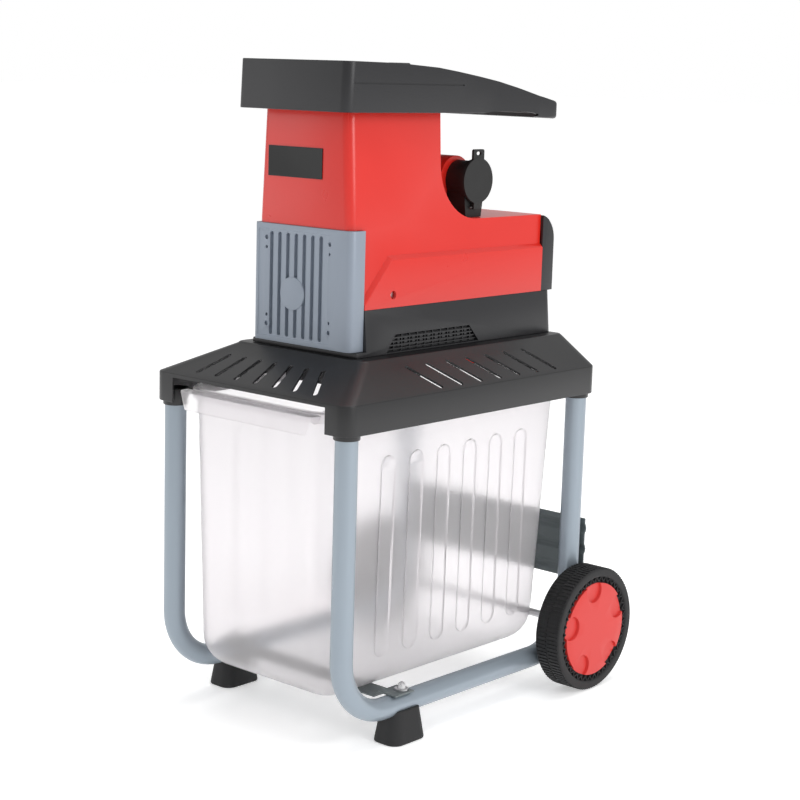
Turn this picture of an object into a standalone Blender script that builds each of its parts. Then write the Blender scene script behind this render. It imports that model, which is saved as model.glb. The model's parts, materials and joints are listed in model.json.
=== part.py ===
"""Electric roller garden shredder on a wheeled tube frame with a sliding collection bin.

Metres, +Z up. +Y points to the wheels at the back, and the cutter end plate faces -Y.
Everything is modelled about the middle of the leg square, then one empty shifts it so
that the origin lies on the floor under the centre of the whole machine.
"""

import math

import bmesh
import bpy
from mathutils import Matrix, Vector

# Driving dimensions
FRAME_CENTRE_Y = 0.0267
GAP = 0.0003
WALL = 0.003

TUBE_RADIUS = 0.016
LEG_X = 0.1727
LEG_Y = 0.2592
TUBE_LOW_Z = 0.054
TUBE_TOP_Z = 0.4750
BEND_RADIUS = 0.0875
BEND_STEPS = 6

WHEEL_RADIUS = 0.0969
WHEEL_INNER_X = 0.1945
WHEEL_WIDTH = 0.0445
WHEEL_Y = 0.2474
AXLE_RADIUS = 0.006
HUB_RADIUS = 0.0800

FOOT_Y = -0.1345
FOOT_HEIGHT = 0.045
STRAP_Y = -0.140
STRAP_DEPTH = 0.040
STRAP_THICK = 0.002
CROSSBAR_LOW_Z = 0.160
CROSSBAR_HIGH_Z = 0.260

DECK_X = 0.1947
DECK_Y = 0.2830
DECK_LOW_Z = 0.4620
DECK_EDGE_Z = 0.5040
DECK_TOP_Z = 0.5475
DECK_TOP_X = 0.1280
DECK_TOP_FRONT_Y = -0.1870

BODY_X = 0.0977
BODY_FRONT_Y = -0.1756
BODY_REAR_Y = 0.2830
BLACK_TOP_Z = 0.6130
RED_LOW_Z = 0.6133
NECK_X = 0.0840
NECK_TOP_Z = 0.8874
MOTOR_TOP_Z = 0.7320

PLATE_LOW_Z = 0.5550
PLATE_HIGH_Z = 0.7250
PLATE_FRONT_Y = -0.1784
PLATE_BACK_Y = -0.1500

HOPPER_X = 0.1084
HOPPER_FRONT_Y = -0.2060
HOPPER_LOW_Z = 0.8877
MOUTH_X = 0.0730
MOUTH_FRONT_Y = -0.1600
MOUTH_REAR_Y = -0.0120

ROLLER_X = -0.0180
ROLLER_Z = 0.6270
ROLLER_RADIUS = 0.0400
SHAFT_RADIUS = 0.0090
GEAR_MODULE = 0.0015
GEAR_TEETH = 48
PINION_TEETH = 12
ROTOR_X = 0.0180
ROTOR_Z = 0.6540
MOTOR_RADIUS = 0.0460

BIN_TOP_Z = 0.4840
BIN_BOTTOM_Z = 0.0630
BIN_X = 0.1460
BIN_BOTTOM_X = 0.1400
BIN_FRONT_Y = -0.2640
BIN_REAR_Y = 0.2620
BIN_BOTTOM_FRONT_Y = -0.2520
BIN_BOTTOM_REAR_Y = 0.2320
BIN_CORNER = 0.0450
BIN_WALL = 0.0022

INLET_Y = 0.1120
INLET_Z = 0.7870
INLET_RADIUS = 0.0290
CAP_X = 0.0800
CAP_RADIUS = 0.0340

TO_X = (0.0, math.pi / 2, 0.0)
TO_Y = (-math.pi / 2, 0.0, 0.0)
SIDE_VIEW = (math.pi / 2, 0.0, math.pi / 2)
FRONT_VIEW = (math.pi / 2, 0.0, 0.0)

for old in list(bpy.data.objects):
    bpy.data.objects.remove(old, do_unlink=True)

PARTS = bpy.data.collections.new("wood_chipper")
CUTTERS = bpy.data.collections.new("cutters")
bpy.context.scene.collection.children.link(PARTS)
bpy.context.scene.collection.children.link(CUTTERS)


def finish_material(name, colour, roughness, metallic):
    """Make one plain surface finish."""
    finish = bpy.data.materials.new(name)
    finish.use_nodes = True
    shader = finish.node_tree.nodes["Principled BSDF"]
    shader.inputs["Base Color"].default_value = (*colour, 1.0)
    shader.inputs["Roughness"].default_value = roughness
    shader.inputs["Metallic"].default_value = metallic
    return finish


RED = finish_material("red_housing", (0.66, 0.045, 0.025), 0.35, 0.0)
BLACK = finish_material("black_plastic", (0.020, 0.020, 0.022), 0.50, 0.0)
GREY = finish_material("cast_grey", (0.36, 0.39, 0.44), 0.45, 0.4)
TUBE = finish_material("tube_paint", (0.35, 0.39, 0.43), 0.35, 0.5)
STEEL = finish_material("bright_steel", (0.55, 0.55, 0.56), 0.30, 1.0)
RUBBER = finish_material("black_rubber", (0.015, 0.015, 0.016), 0.80, 0.0)
BIN_MILK = finish_material("milky_plastic", (0.78, 0.75, 0.78), 0.45, 0.0)
CROSS_GREY = finish_material("crossbar_paint", (0.13, 0.15, 0.15), 0.45, 0.3)
COPPER = finish_material("motor_windings", (0.45, 0.18, 0.08), 0.40, 0.8)
GREEN = finish_material("green_button", (0.03, 0.30, 0.06), 0.40, 0.0)


def put(name, mesh, finish, location=(0.0, 0.0, 0.0), rotation=(0.0, 0.0, 0.0)):
    """Give a mesh an object, a finish and a place."""
    part = bpy.data.objects.new(name, mesh)
    part.location = location
    part.rotation_euler = rotation
    if finish is None:
        part.hide_render = True
        part.display_type = "WIRE"
        CUTTERS.objects.link(part)
    else:
        mesh.materials.append(finish)
        PARTS.objects.link(part)
    return part


def block(name, low, high, finish=None, top_low=None, top_high=None):
    """Make a box between two corners, with its own top rectangle if it tapers."""
    low = Vector(low)
    high = Vector(high)
    middle = (low + high) / 2
    size = high - low
    form = bmesh.new()
    bmesh.ops.create_cube(form, size=1.0, matrix=Matrix.Diagonal((*size, 1.0)))
    if top_low is not None:
        for corner in [v for v in form.verts if v.co.z > 0]:
            corner.co.x = (top_high[0] if corner.co.x > 0 else top_low[0]) - middle.x
            corner.co.y = (top_high[1] if corner.co.y > 0 else top_low[1]) - middle.y
    mesh = bpy.data.meshes.new(name)
    form.to_mesh(mesh)
    form.free()
    return put(name, mesh, finish, middle)


def rod(name, radius, length, centre, rotation, finish=None, sides=24):
    """Make a cylinder about its own middle."""
    form = bmesh.new()
    bmesh.ops.create_cone(form, cap_ends=True, segments=sides, radius1=radius, radius2=radius,
                          depth=length)
    mesh = bpy.data.meshes.new(name)
    form.to_mesh(mesh)
    form.free()
    return put(name, mesh, finish, centre, rotation)


def outline(name, points, thickness, finish=None, location=(0.0, 0.0, 0.0), rotation=(0.0, 0.0, 0.0)):
    """Extrude a flat outline to both sides of its plane and make it a welded mesh."""
    curve = bpy.data.curves.new(name + "_outline", "CURVE")
    curve.dimensions = "2D"
    curve.fill_mode = "BOTH"
    curve.extrude = thickness / 2
    spline = curve.splines.new("POLY")
    spline.points.add(len(points) - 1)
    for point, (u, v) in zip(spline.points, points):
        point.co = (u, v, 0.0, 1.0)
    spline.use_cyclic_u = True
    return curve_to_part(name, curve, finish, location, rotation)


def curve_to_part(name, curve, finish, location, rotation):
    """Turn a curve into a closed mesh part and remove the curve."""
    guide = bpy.data.objects.new(name + "_curve", curve)
    guide.location = location
    guide.rotation_euler = rotation
    PARTS.objects.link(guide)
    bpy.context.view_layer.update()
    graph = bpy.context.evaluated_depsgraph_get()
    mesh = bpy.data.meshes.new_from_object(guide.evaluated_get(graph))
    form = bmesh.new()
    form.from_mesh(mesh)
    bmesh.ops.remove_doubles(form, verts=form.verts[:], dist=0.00001)
    bmesh.ops.recalc_face_normals(form, faces=form.faces[:])
    form.to_mesh(mesh)
    form.free()
    mesh.name = name
    part = put(name, mesh, finish)
    part.matrix_world = guide.matrix_world
    bpy.data.objects.remove(guide, do_unlink=True)
    return part


def turned(name, profile, steps, finish, location, rotation, closed=False):
    """Turn a profile of (radius, height) points about the local Z axis."""
    mesh = bpy.data.meshes.new(name)
    edges = [(i, i + 1) for i in range(len(profile) - 1)]
    if closed:
        edges.append((len(profile) - 1, 0))
    mesh.from_pydata([(radius, 0.0, height) for radius, height in profile], edges, [])
    part = put(name, mesh, finish, location, rotation)
    screw = part.modifiers.new("turn", "SCREW")
    screw.axis = "Z"
    screw.angle = math.tau
    screw.steps = steps
    screw.render_steps = steps
    screw.use_merge_vertices = True
    screw.merge_threshold = 0.00001
    return part


def combine(part, other, operation="DIFFERENCE"):
    """Cut a part with a tool, or join the tool to it."""
    change = part.modifiers.new(other.name, "BOOLEAN")
    change.operation = operation
    change.object = other
    change.solver = "EXACT"


def slice_off(part, point, normal):
    """Cut away what lies on the normal's side of a plane and close the cut."""
    bpy.context.view_layer.update()
    back = part.matrix_world.inverted()
    form = bmesh.new()
    form.from_mesh(part.data)
    cut = bmesh.ops.bisect_plane(form, geom=form.verts[:] + form.edges[:] + form.faces[:],
                                 dist=0.0000001, plane_co=back @ Vector(point),
                                 plane_no=(back.to_3x3() @ Vector(normal)).normalized(),
                                 clear_outer=True)
    rim = [e for e in cut["geom_cut"] if isinstance(e, bmesh.types.BMEdge)]
    bmesh.ops.contextual_create(form, geom=rim)
    bmesh.ops.recalc_face_normals(form, faces=form.faces[:])
    form.to_mesh(part.data)
    form.free()


def round_uprights(part, radius):
    """Round the upright edges of a block."""
    form = bmesh.new()
    form.from_mesh(part.data)
    upright = [e for e in form.edges if abs(e.verts[0].co.z - e.verts[1].co.z) > 0.01]
    bmesh.ops.bevel(form, geom=upright, offset=radius, segments=3, profile=0.5, affect="EDGES")
    form.to_mesh(part.data)
    form.free()


def hollow_out(part, direction, thickness):
    """Open the side that faces a world direction and give the rest an inward wall."""
    bpy.context.view_layer.update()
    inward = part.matrix_world.to_3x3().inverted() @ Vector(direction)
    form = bmesh.new()
    form.from_mesh(part.data)
    form.normal_update()
    open_side = [f for f in form.faces if f.normal.dot(inward) > 0.99]
    bmesh.ops.delete(form, geom=open_side, context="FACES")
    form.to_mesh(part.data)
    form.free()
    shell = part.modifiers.new("wall", "SOLIDIFY")
    shell.thickness = thickness
    shell.offset = -1.0
    shell.use_even_offset = True


def arc(centre_u, centre_v, radius, start, end, steps):
    """List points along an arc, with angles in degrees."""
    angles = [math.radians(start + (end - start) * i / steps) for i in range(steps + 1)]
    return [(centre_u + radius * math.cos(a), centre_v + radius * math.sin(a)) for a in angles]


def side_frame(name, x):
    """Bend one tube into a leg, a bottom run and a second leg, with an axle hole."""
    low = TUBE_LOW_Z + BEND_RADIUS
    front = arc(-LEG_Y + BEND_RADIUS, low, BEND_RADIUS, 180, 270, BEND_STEPS)
    rear = arc(LEG_Y - BEND_RADIUS, low, BEND_RADIUS, 270, 360, BEND_STEPS)
    route = [(-LEG_Y, TUBE_TOP_Z)] + front + rear + [(LEG_Y, TUBE_TOP_Z)]
    curve = bpy.data.curves.new(name + "_route", "CURVE")
    curve.dimensions = "3D"
    curve.bevel_depth = TUBE_RADIUS
    curve.bevel_resolution = 4
    curve.use_fill_caps = True
    spline = curve.splines.new("POLY")
    spline.points.add(len(route) - 1)
    for point, (y, z) in zip(spline.points, route):
        point.co = (x, y, z, 1.0)
    tube = curve_to_part(name, curve, TUBE, (0.0, 0.0, 0.0), (0.0, 0.0, 0.0))
    hole = rod(name + "_axle_hole", AXLE_RADIUS + GAP, 0.1, (x, WHEEL_Y, WHEEL_RADIUS), TO_X)
    combine(tube, hole)


def front_foot(name, x):
    """Mould one tapered rubber foot with a saddle for the tube."""
    foot = block(name, (x - 0.0254, FOOT_Y - 0.0367, 0.0), (x + 0.0254, FOOT_Y + 0.0367, FOOT_HEIGHT),
                 RUBBER, (x - 0.0205, FOOT_Y - 0.0290), (x + 0.0205, FOOT_Y + 0.0290))
    round_uprights(foot, 0.014)
    combine(foot, rod(name + "_saddle", TUBE_RADIUS + GAP, 0.12, (x, FOOT_Y, TUBE_LOW_Z), TO_Y))


def cross_strap():
    """Fold the sheet strap that ties both bottom tubes and carries the bin."""
    top = TUBE_LOW_Z + TUBE_RADIUS + GAP
    low = BIN_BOTTOM_Z - GAP - STRAP_THICK
    inner = LEG_X - TUBE_RADIUS - 0.004
    half = [(LEG_X + TUBE_RADIUS - 0.002, top), (inner, top), (inner - 0.008, low)]
    lower = [(-u, v) for u, v in half] + [(u, v) for u, v in reversed(half)]
    upper = [(u, v + STRAP_THICK) for u, v in reversed(lower)]
    outline("front_cross_strap", lower + upper, STRAP_DEPTH, CROSS_GREY, (0.0, STRAP_Y, 0.0), FRONT_VIEW)


def strap_bolt(name, x):
    """Turn the domed nut that stands on the strap over one tube."""
    base = TUBE_LOW_Z + TUBE_RADIUS + GAP + STRAP_THICK + GAP
    profile = [(0.0, 0.012), (0.003, 0.0115), (0.005, 0.009), (0.006, 0.003), (0.0105, 0.0025),
               (0.0105, 0.0), (0.0, 0.0)]
    turned(name, profile, 16, STEEL, (x, STRAP_Y + 0.008, base), (0.0, 0.0, 0.0))


def rear_crossbar():
    """Press the beaded sheet that joins the rear legs."""
    height = CROSSBAR_HIGH_Z - CROSSBAR_LOW_Z
    steps = 24
    front = []
    for i in range(steps + 1):
        share = i / steps
        bead = 0.0035 * max(0.0, math.sin(share * 3 * math.tau - math.pi / 2))
        front.append((LEG_Y + TUBE_RADIUS + 0.0008 + bead, CROSSBAR_LOW_Z + height * share))
    back = [(y + STRAP_THICK, z) for y, z in reversed(front)]
    outline("rear_crossbar", front + back, 2 * (LEG_X + TUBE_RADIUS), CROSS_GREY,
            (0.0, 0.0, 0.0), SIDE_VIEW)


def wheel(side, sign):
    """Turn one tyre on its hub, centred on the axle."""
    centre = (sign * (WHEEL_INNER_X + WHEEL_WIDTH / 2), WHEEL_Y, WHEEL_RADIUS)
    half = WHEEL_WIDTH / 2
    bead = HUB_RADIUS + GAP
    shoulder = WHEEL_RADIUS - 0.006
    tyre = [(bead, half - 0.002), (shoulder - 0.003, half), (shoulder + 0.004, half - 0.004),
            (WHEEL_RADIUS, half - 0.012), (WHEEL_RADIUS, -half + 0.012),
            (shoulder + 0.004, -half + 0.004), (shoulder - 0.003, -half), (bead, -half + 0.002)]
    turned(side + "_tyre", tyre, 40, RUBBER, centre, TO_X, closed=True)
    bore = AXLE_RADIUS + GAP
    face = half - 0.006
    hub = [(bore, face), (0.020, face + 0.002), (HUB_RADIUS - 0.008, face), (HUB_RADIUS, face - 0.003),
           (HUB_RADIUS, -face), (HUB_RADIUS - 0.008, -face), (HUB_RADIUS - 0.012, -0.004),
           (0.020, -0.004), (0.018, -half), (bore, -half)]
    if sign < 0:
        hub = [(radius, -height) for radius, height in reversed(hub)]
    turned(side + "_wheel_hub", hub, 32, BLACK, centre, TO_X, closed=True)
    cap_base = face + 0.002 + GAP
    cap = [(0.0, cap_base + 0.004), (0.050, cap_base + 0.0035), (HUB_RADIUS - 0.010, cap_base + 0.002),
           (HUB_RADIUS - 0.008, cap_base), (0.0, cap_base)]
    turn = TO_X if sign > 0 else (0.0, -math.pi / 2, 0.0)
    turned(side + "_hub_cover", cap, 32, RED, centre, turn)


def wheel_axle():
    """Cut the axle rod that passes through both side frames."""
    rod("wheel_axle", AXLE_RADIUS, 2 * (WHEEL_INNER_X + WHEEL_WIDTH / 2 + 0.015),
        (0.0, WHEEL_Y, WHEEL_RADIUS), TO_X, STEEL)


def slot_row(name, count, start, step, low_corner, high_corner):
    """Make a row of slanted slot cutters as one tool."""
    form = bmesh.new()
    for i in range(count):
        shift = Vector(start) + Vector(step) * i
        a = Vector(low_corner) + shift
        b = Vector(high_corner) + shift
        along = b - a
        turn = along.to_track_quat("X", "Z").to_matrix().to_4x4()
        size = Matrix.Diagonal((along.length, 0.0075, 0.030, 1.0))
        bmesh.ops.create_cube(form, size=1.0, matrix=Matrix.Translation((a + b) / 2) @ turn @ size)
    mesh = bpy.data.meshes.new(name)
    form.to_mesh(mesh)
    form.free()
    return put(name, mesh, None)


def deck_cover():
    """Mould the deck: sloped slotted sides, a stepped rim, leg sockets and a bin opening."""
    deck = block("deck_cover", (-DECK_X, -DECK_Y, DECK_LOW_Z), (DECK_X, DECK_Y, DECK_TOP_Z), BLACK)
    round_uprights(deck, 0.018)
    rise = DECK_TOP_Z - DECK_EDGE_Z
    run = DECK_X - DECK_TOP_X
    for sign in (-1, 1):
        slice_off(deck, (sign * DECK_X, 0.0, DECK_EDGE_Z), (sign * rise, 0.0, run))
        slice_off(deck, (sign * 0.1616, -DECK_Y, 0.5056), (sign * 0.0378, -0.0331, 0.1000))
    run = DECK_TOP_FRONT_Y + DECK_Y
    slice_off(deck, (0.0, -DECK_Y, DECK_EDGE_Z), (0.0, -rise, run))
    hollow_out(deck, (0.0, 0.0, -1.0), WALL)
    combine(deck, block("bin_doorway", (-0.1535, -0.300, 0.440), (0.1535, -0.240, 0.4985)))
    combine(deck, slot_row("right_slots", 7, (0.0, -0.100, 0.0), (0.0, 0.0437, 0.0),
                           (0.1430, -0.012, 0.5350), (0.1895, 0.020, 0.5070)))
    combine(deck, slot_row("left_slots", 7, (0.0, -0.100, 0.0), (0.0, 0.0437, 0.0),
                           (-0.1430, -0.012, 0.5350), (-0.1895, 0.020, 0.5070)))
    combine(deck, slot_row("front_slots", 7, (-0.102, 0.0, 0.0), (0.0315, 0.0, 0.0),
                           (0.0, -0.215, 0.5335), (0.0, -0.268, 0.5095)))
    combine(deck, block("chute_hole", (-0.085, -0.130, 0.530), (0.085, 0.010, 0.560)))
    combine(deck, block("lock_hole", (-0.012, 0.184, 0.530), (0.012, 0.216, 0.560)))


def leg_socket(name, x, y):
    """Turn one socket that takes the top of a leg under the deck."""
    inner = TUBE_RADIUS + GAP
    low = DECK_LOW_Z - 0.007
    high = DECK_EDGE_Z - 0.024
    profile = [(inner, high - low), (0.0184, high - low), (0.0186, 0.0), (inner, 0.0)]
    turned(name, profile, 20, BLACK, (x, y, low), (0.0, 0.0, 0.0), closed=True)


def lower_housing():
    """Mould the black belt of the body that stands on the deck."""
    belt = block("lower_housing", (-BODY_X - 0.007, -0.170, DECK_TOP_Z + GAP), (BODY_X + 0.007, BODY_REAR_Y,
                 BLACK_TOP_Z), BLACK, (-BODY_X, -0.170), (BODY_X, BODY_REAR_Y))
    combine(belt, block("belt_inside", (-BODY_X + 0.001, -0.1470, 0.500), (BODY_X - 0.001, 0.279, 0.650)))
    combine(belt, block("belt_plate_seat", (-0.130, -0.200, PLATE_LOW_Z - GAP),
                        (0.130, PLATE_BACK_Y + GAP, 0.700)))
    for name, sign in (("left", -1), ("right", 1)):
        combine(belt, block(name + "_vent_window", (sign * 0.1000 - 0.0100, -0.0800, 0.5560),
                            (sign * 0.1000 + 0.0100, 0.0750, 0.5720)))
        grille = block(name + "_vent_grille", (sign * 0.0985 - 0.0010, -0.0797, 0.5563),
                       (sign * 0.0985 + 0.0010, 0.0747, 0.5717), BLACK)
        openings = bmesh.new()
        for i in range(9):
            place = Matrix.Translation((sign * 0.0985, -0.0700 + i * 0.0168, 0.5640))
            size = Matrix.Diagonal((0.010, 0.010, 0.010, 1.0))
            bmesh.ops.create_cube(openings, size=1.0, matrix=place @ size)
        mesh = bpy.data.meshes.new(name + "_vent_openings")
        openings.to_mesh(mesh)
        openings.free()
        combine(grille, put(name + "_vent_openings", mesh, None))


def housing_outline():
    """List the side view of the red housing, from the front foot round to the back."""
    bend = arc(0.1090, 0.8220, 0.0900, 180, 252, 6)
    shoulder = arc(0.2430, 0.6920, 0.0400, 90, 10, 5)
    return ([(BODY_FRONT_Y, RED_LOW_Z), (BODY_FRONT_Y, NECK_TOP_Z), (0.0160, NECK_TOP_Z)] + bend
            + [(0.0960, MOTOR_TOP_Z)] + shoulder + [(BODY_REAR_Y, 0.6800), (BODY_REAR_Y, RED_LOW_Z)])


def upper_housing():
    """Mould the red body: a tapered feed neck that flows into the motor cover."""
    body = outline("upper_housing", housing_outline(), 2 * BODY_X, RED, (0.0, 0.0, 0.0), SIDE_VIEW)
    for sign in (-1, 1):
        slice_off(body, (sign * BODY_X, 0.0, MOTOR_TOP_Z), (sign * (NECK_TOP_Z - MOTOR_TOP_Z), 0.0,
                  BODY_X - NECK_X))
    hollow_out(body, (0.0, 0.0, -1.0), WALL)
    combine(body, block("neck_throat", (-MOUTH_X, MOUTH_FRONT_Y, 0.870), (MOUTH_X, MOUTH_REAR_Y, 0.900)))
    combine(body, block("plate_window", (-0.110, -0.200, 0.600), (0.110, PLATE_BACK_Y + GAP,
                        PLATE_HIGH_Z + GAP)))
    combine(body, block("end_cover_seat", (-0.120, 0.2552, 0.600), (0.120, 0.300, 0.7600)))
    combine(body, rod("inlet_seat", 0.0120, 0.050, (0.055, 0.1120, MOTOR_TOP_Z), (0.0, 0.0, 0.0)))
    combine(body, rod("screw_access", 0.0060, 0.060, (0.1000, -0.0900, ROLLER_Z + 0.004), TO_X))


def cutter_end_plate():
    """Cast the ribbed end plate that carries the front roller bearing."""
    plate = block("cutter_end_plate", (-BODY_X, PLATE_FRONT_Y, PLATE_LOW_Z),
                  (BODY_X, PLATE_BACK_Y, PLATE_HIGH_Z), GREY)
    combine(plate, block("plate_back_pocket", (-0.0950, -0.1720, PLATE_LOW_Z - 0.01),
                         (0.0950, -0.140, PLATE_HIGH_Z + 0.01)))
    grooves = bmesh.new()
    for i in range(7):
        size = Matrix.Diagonal((0.0075, 0.004, 0.148, 1.0))
        place = Matrix.Translation((-0.0611 + i * 0.01645, PLATE_FRONT_Y, 0.640))
        bmesh.ops.create_cube(grooves, size=1.0, matrix=place @ size)
    mesh = bpy.data.meshes.new("plate_grooves")
    grooves.to_mesh(mesh)
    grooves.free()
    combine(plate, put("plate_grooves", mesh, None))
    boss = rod("bearing_boss", 0.0243, 0.0095, (ROLLER_X, -0.1765, ROLLER_Z), TO_Y)
    combine(plate, boss, "UNION")


def rear_end_cover():
    """Mould the black cover that closes the motor end and holds the switches."""
    shoulder = arc(0.2450, 0.6920, 0.0400, 74, 0, 6)
    side = [(0.2555, RED_LOW_Z)] + shoulder + [(0.2850, RED_LOW_Z)]
    cover = outline("rear_end_cover", side, 2 * BODY_X, BLACK, (0.0, 0.0, 0.0), SIDE_VIEW)
    combine(cover, block("end_cover_inside", (-0.0945, 0.2500, 0.6000), (0.0945, 0.2765, 0.7060)))
    combine(cover, rod("start_hole", 0.0095, 0.02, (-0.030, 0.2850, 0.680), TO_Y))
    combine(cover, rod("stop_hole", 0.0095, 0.02, (0.000, 0.2850, 0.680), TO_Y))
    combine(cover, rod("direction_hole", 0.0065, 0.02, (0.045, 0.2850, 0.670), TO_Y))
    combine(cover, rod("reset_hole", 0.0060, 0.02, (-0.060, 0.2850, 0.680), TO_Y))


def button(name, x, radius, finish):
    """Turn one push button with a retaining flange inside the cover."""
    profile = [(0.0, 0.018), (radius - 0.001, 0.0178), (radius, 0.0165), (radius, 0.0),
               (0.0, 0.0)]
    turned(name, profile, 20, finish, (x, 0.2720, 0.680), TO_Y)


def direction_knob():
    """Mould the rotary knob that picks forward or reverse."""
    turned("direction_knob", [(0.0, 0.021), (0.0145, 0.020), (0.0155, 0.0135), (0.0155, 0.0135 - 0.0002),
                              (0.0060, 0.0133), (0.0060, 0.0), (0.0, 0.0)],
           24, BLACK, (0.045, 0.2720, 0.670), TO_Y)


def hopper_top():
    """Mould the black feed hopper with its sloping top and tail grip."""
    crown = [(HOPPER_FRONT_Y, HOPPER_LOW_Z), (HOPPER_FRONT_Y, 0.9520), (-0.1960, 0.9580),
             (-0.1000, 0.9555), (-0.0160, 0.9515), (0.0290, 0.9465), (0.1210, 0.9340), (0.2200, 0.9140),
             (0.2560, 0.9080), (0.2680, 0.9010), (0.2710, 0.8900), (0.2670, 0.8800), (0.2550, 0.8790),
             (0.0820, HOPPER_LOW_Z)]
    hopper = outline("hopper_top", crown, 2 * HOPPER_X, BLACK, (0.0, 0.0, 0.0), SIDE_VIEW)
    combine(hopper, block("mouth", (-MOUTH_X, MOUTH_FRONT_Y, 0.860), (MOUTH_X, MOUTH_REAR_Y, 0.980)))
    combine(hopper, block("hopper_inside", (-0.1050, 0.0000, 0.860), (0.1050, 0.0760, 0.9360),
                          None, (-0.1050, 0.0000), (0.1050, 0.0760)))
    combine(hopper, block("grip_recess", (-0.1050, 0.0800, 0.860), (0.1050, 0.2500, 0.9300),
                          None, (-0.1050, 0.0800), (0.1050, 0.1120)))


def feed_chute():
    """Fold the funnel that leads branches from the mouth down to the roller."""
    chute = block("feed_chute", (-0.0700, -0.1400, 0.6900), (0.0500, -0.0400, 0.9350), STEEL,
                  (-MOUTH_X + 0.0010, MOUTH_FRONT_Y + 0.0010), (MOUTH_X - 0.0010, MOUTH_REAR_Y - 0.0010))
    combine(chute, block("chute_inside", (-0.0680, -0.1380, 0.6800), (0.0480, -0.0420, 0.9450),
                         None, (-MOUTH_X + 0.0030, MOUTH_FRONT_Y + 0.0030),
                         (MOUTH_X - 0.0030, MOUTH_REAR_Y - 0.0030)))


def label_plate():
    """Cut the plain plate on the front of the neck."""
    block("label_plate", (-0.0710, BODY_FRONT_Y - 0.0013, 0.7930), (0.0360, BODY_FRONT_Y - GAP, 0.8360),
          BLACK)


def plug_inlet():
    """Mould the recessed plug inlet that stands on the motor cover and faces +X."""
    shell = rod("plug_inlet", INLET_RADIUS, 0.0550, (CAP_X - 0.0310, INLET_Y, INLET_Z), TO_X, BLACK, 28)
    combine(shell, rod("inlet_socket", INLET_RADIUS - 0.0030, 0.0450,
                       (CAP_X - 0.0200, INLET_Y, INLET_Z), TO_X, None, 28))
    combine(shell, block("inlet_neck", (0.0300, INLET_Y - 0.010, MOTOR_TOP_Z + GAP),
                         (0.0700, INLET_Y + 0.010, INLET_Z - INLET_RADIUS + 0.003)), "UNION")
    for name, lift in (("inlet_line_pin", -0.011), ("inlet_neutral_pin", 0.011)):
        rod(name, 0.0024, 0.0220, (CAP_X - 0.0310, INLET_Y + lift, INLET_Z), TO_X, STEEL, 12)
    rod("inlet_earth_pin", 0.0026, 0.0240, (CAP_X - 0.0300, INLET_Y, INLET_Z + 0.0130), TO_X, STEEL, 12)


def inlet_cap():
    """Mould the round flap, with its origin on the hinge under the socket."""
    hinge_z = INLET_Z - CAP_RADIUS - 0.006
    cap = turned("inlet_cap", [(0.0, 0.0052), (0.0270, 0.0052), (CAP_RADIUS, 0.0030),
                               (CAP_RADIUS, 0.0), (0.0, 0.0)],
                 28, BLACK, (CAP_X - 0.0030, INLET_Y, INLET_Z), TO_X)
    tab = block("cap_tab", (CAP_X - 0.0030, INLET_Y - 0.0120, INLET_Z + 0.0290),
                (CAP_X + 0.0010, INLET_Y + 0.0120, INLET_Z + 0.0470))
    ear = block("cap_ear", (CAP_X - 0.0060, INLET_Y - 0.0080, hinge_z - 0.0030),
                (CAP_X + 0.0010, INLET_Y + 0.0080, INLET_Z - INLET_RADIUS - 0.0005))
    combine(cap, tab, "UNION")
    combine(cap, ear, "UNION")
    combine(cap, rod("cap_pin_hole", 0.0016, 0.05, (CAP_X - 0.0030, INLET_Y, hinge_z), TO_Y, None, 12))
    rod("inlet_hinge_pin", 0.0012, 0.0240, (CAP_X - 0.0030, INLET_Y, hinge_z), TO_Y, STEEL, 12)


def gear_outline(teeth, clearance):
    """List the outline of a simple straight-sided gear."""
    pitch = GEAR_MODULE * teeth / 2
    root = pitch - 1.35 * GEAR_MODULE
    tip = pitch + 0.85 * GEAR_MODULE
    step = math.tau / teeth
    points = []
    for i in range(teeth):
        middle = i * step
        for offset, radius in ((-0.30, root), (-0.13, tip), (0.13, tip), (0.30, root)):
            angle = middle + offset * step * (1 - clearance)
            points.append((radius * math.cos(angle), radius * math.sin(angle)))
    return points


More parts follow.
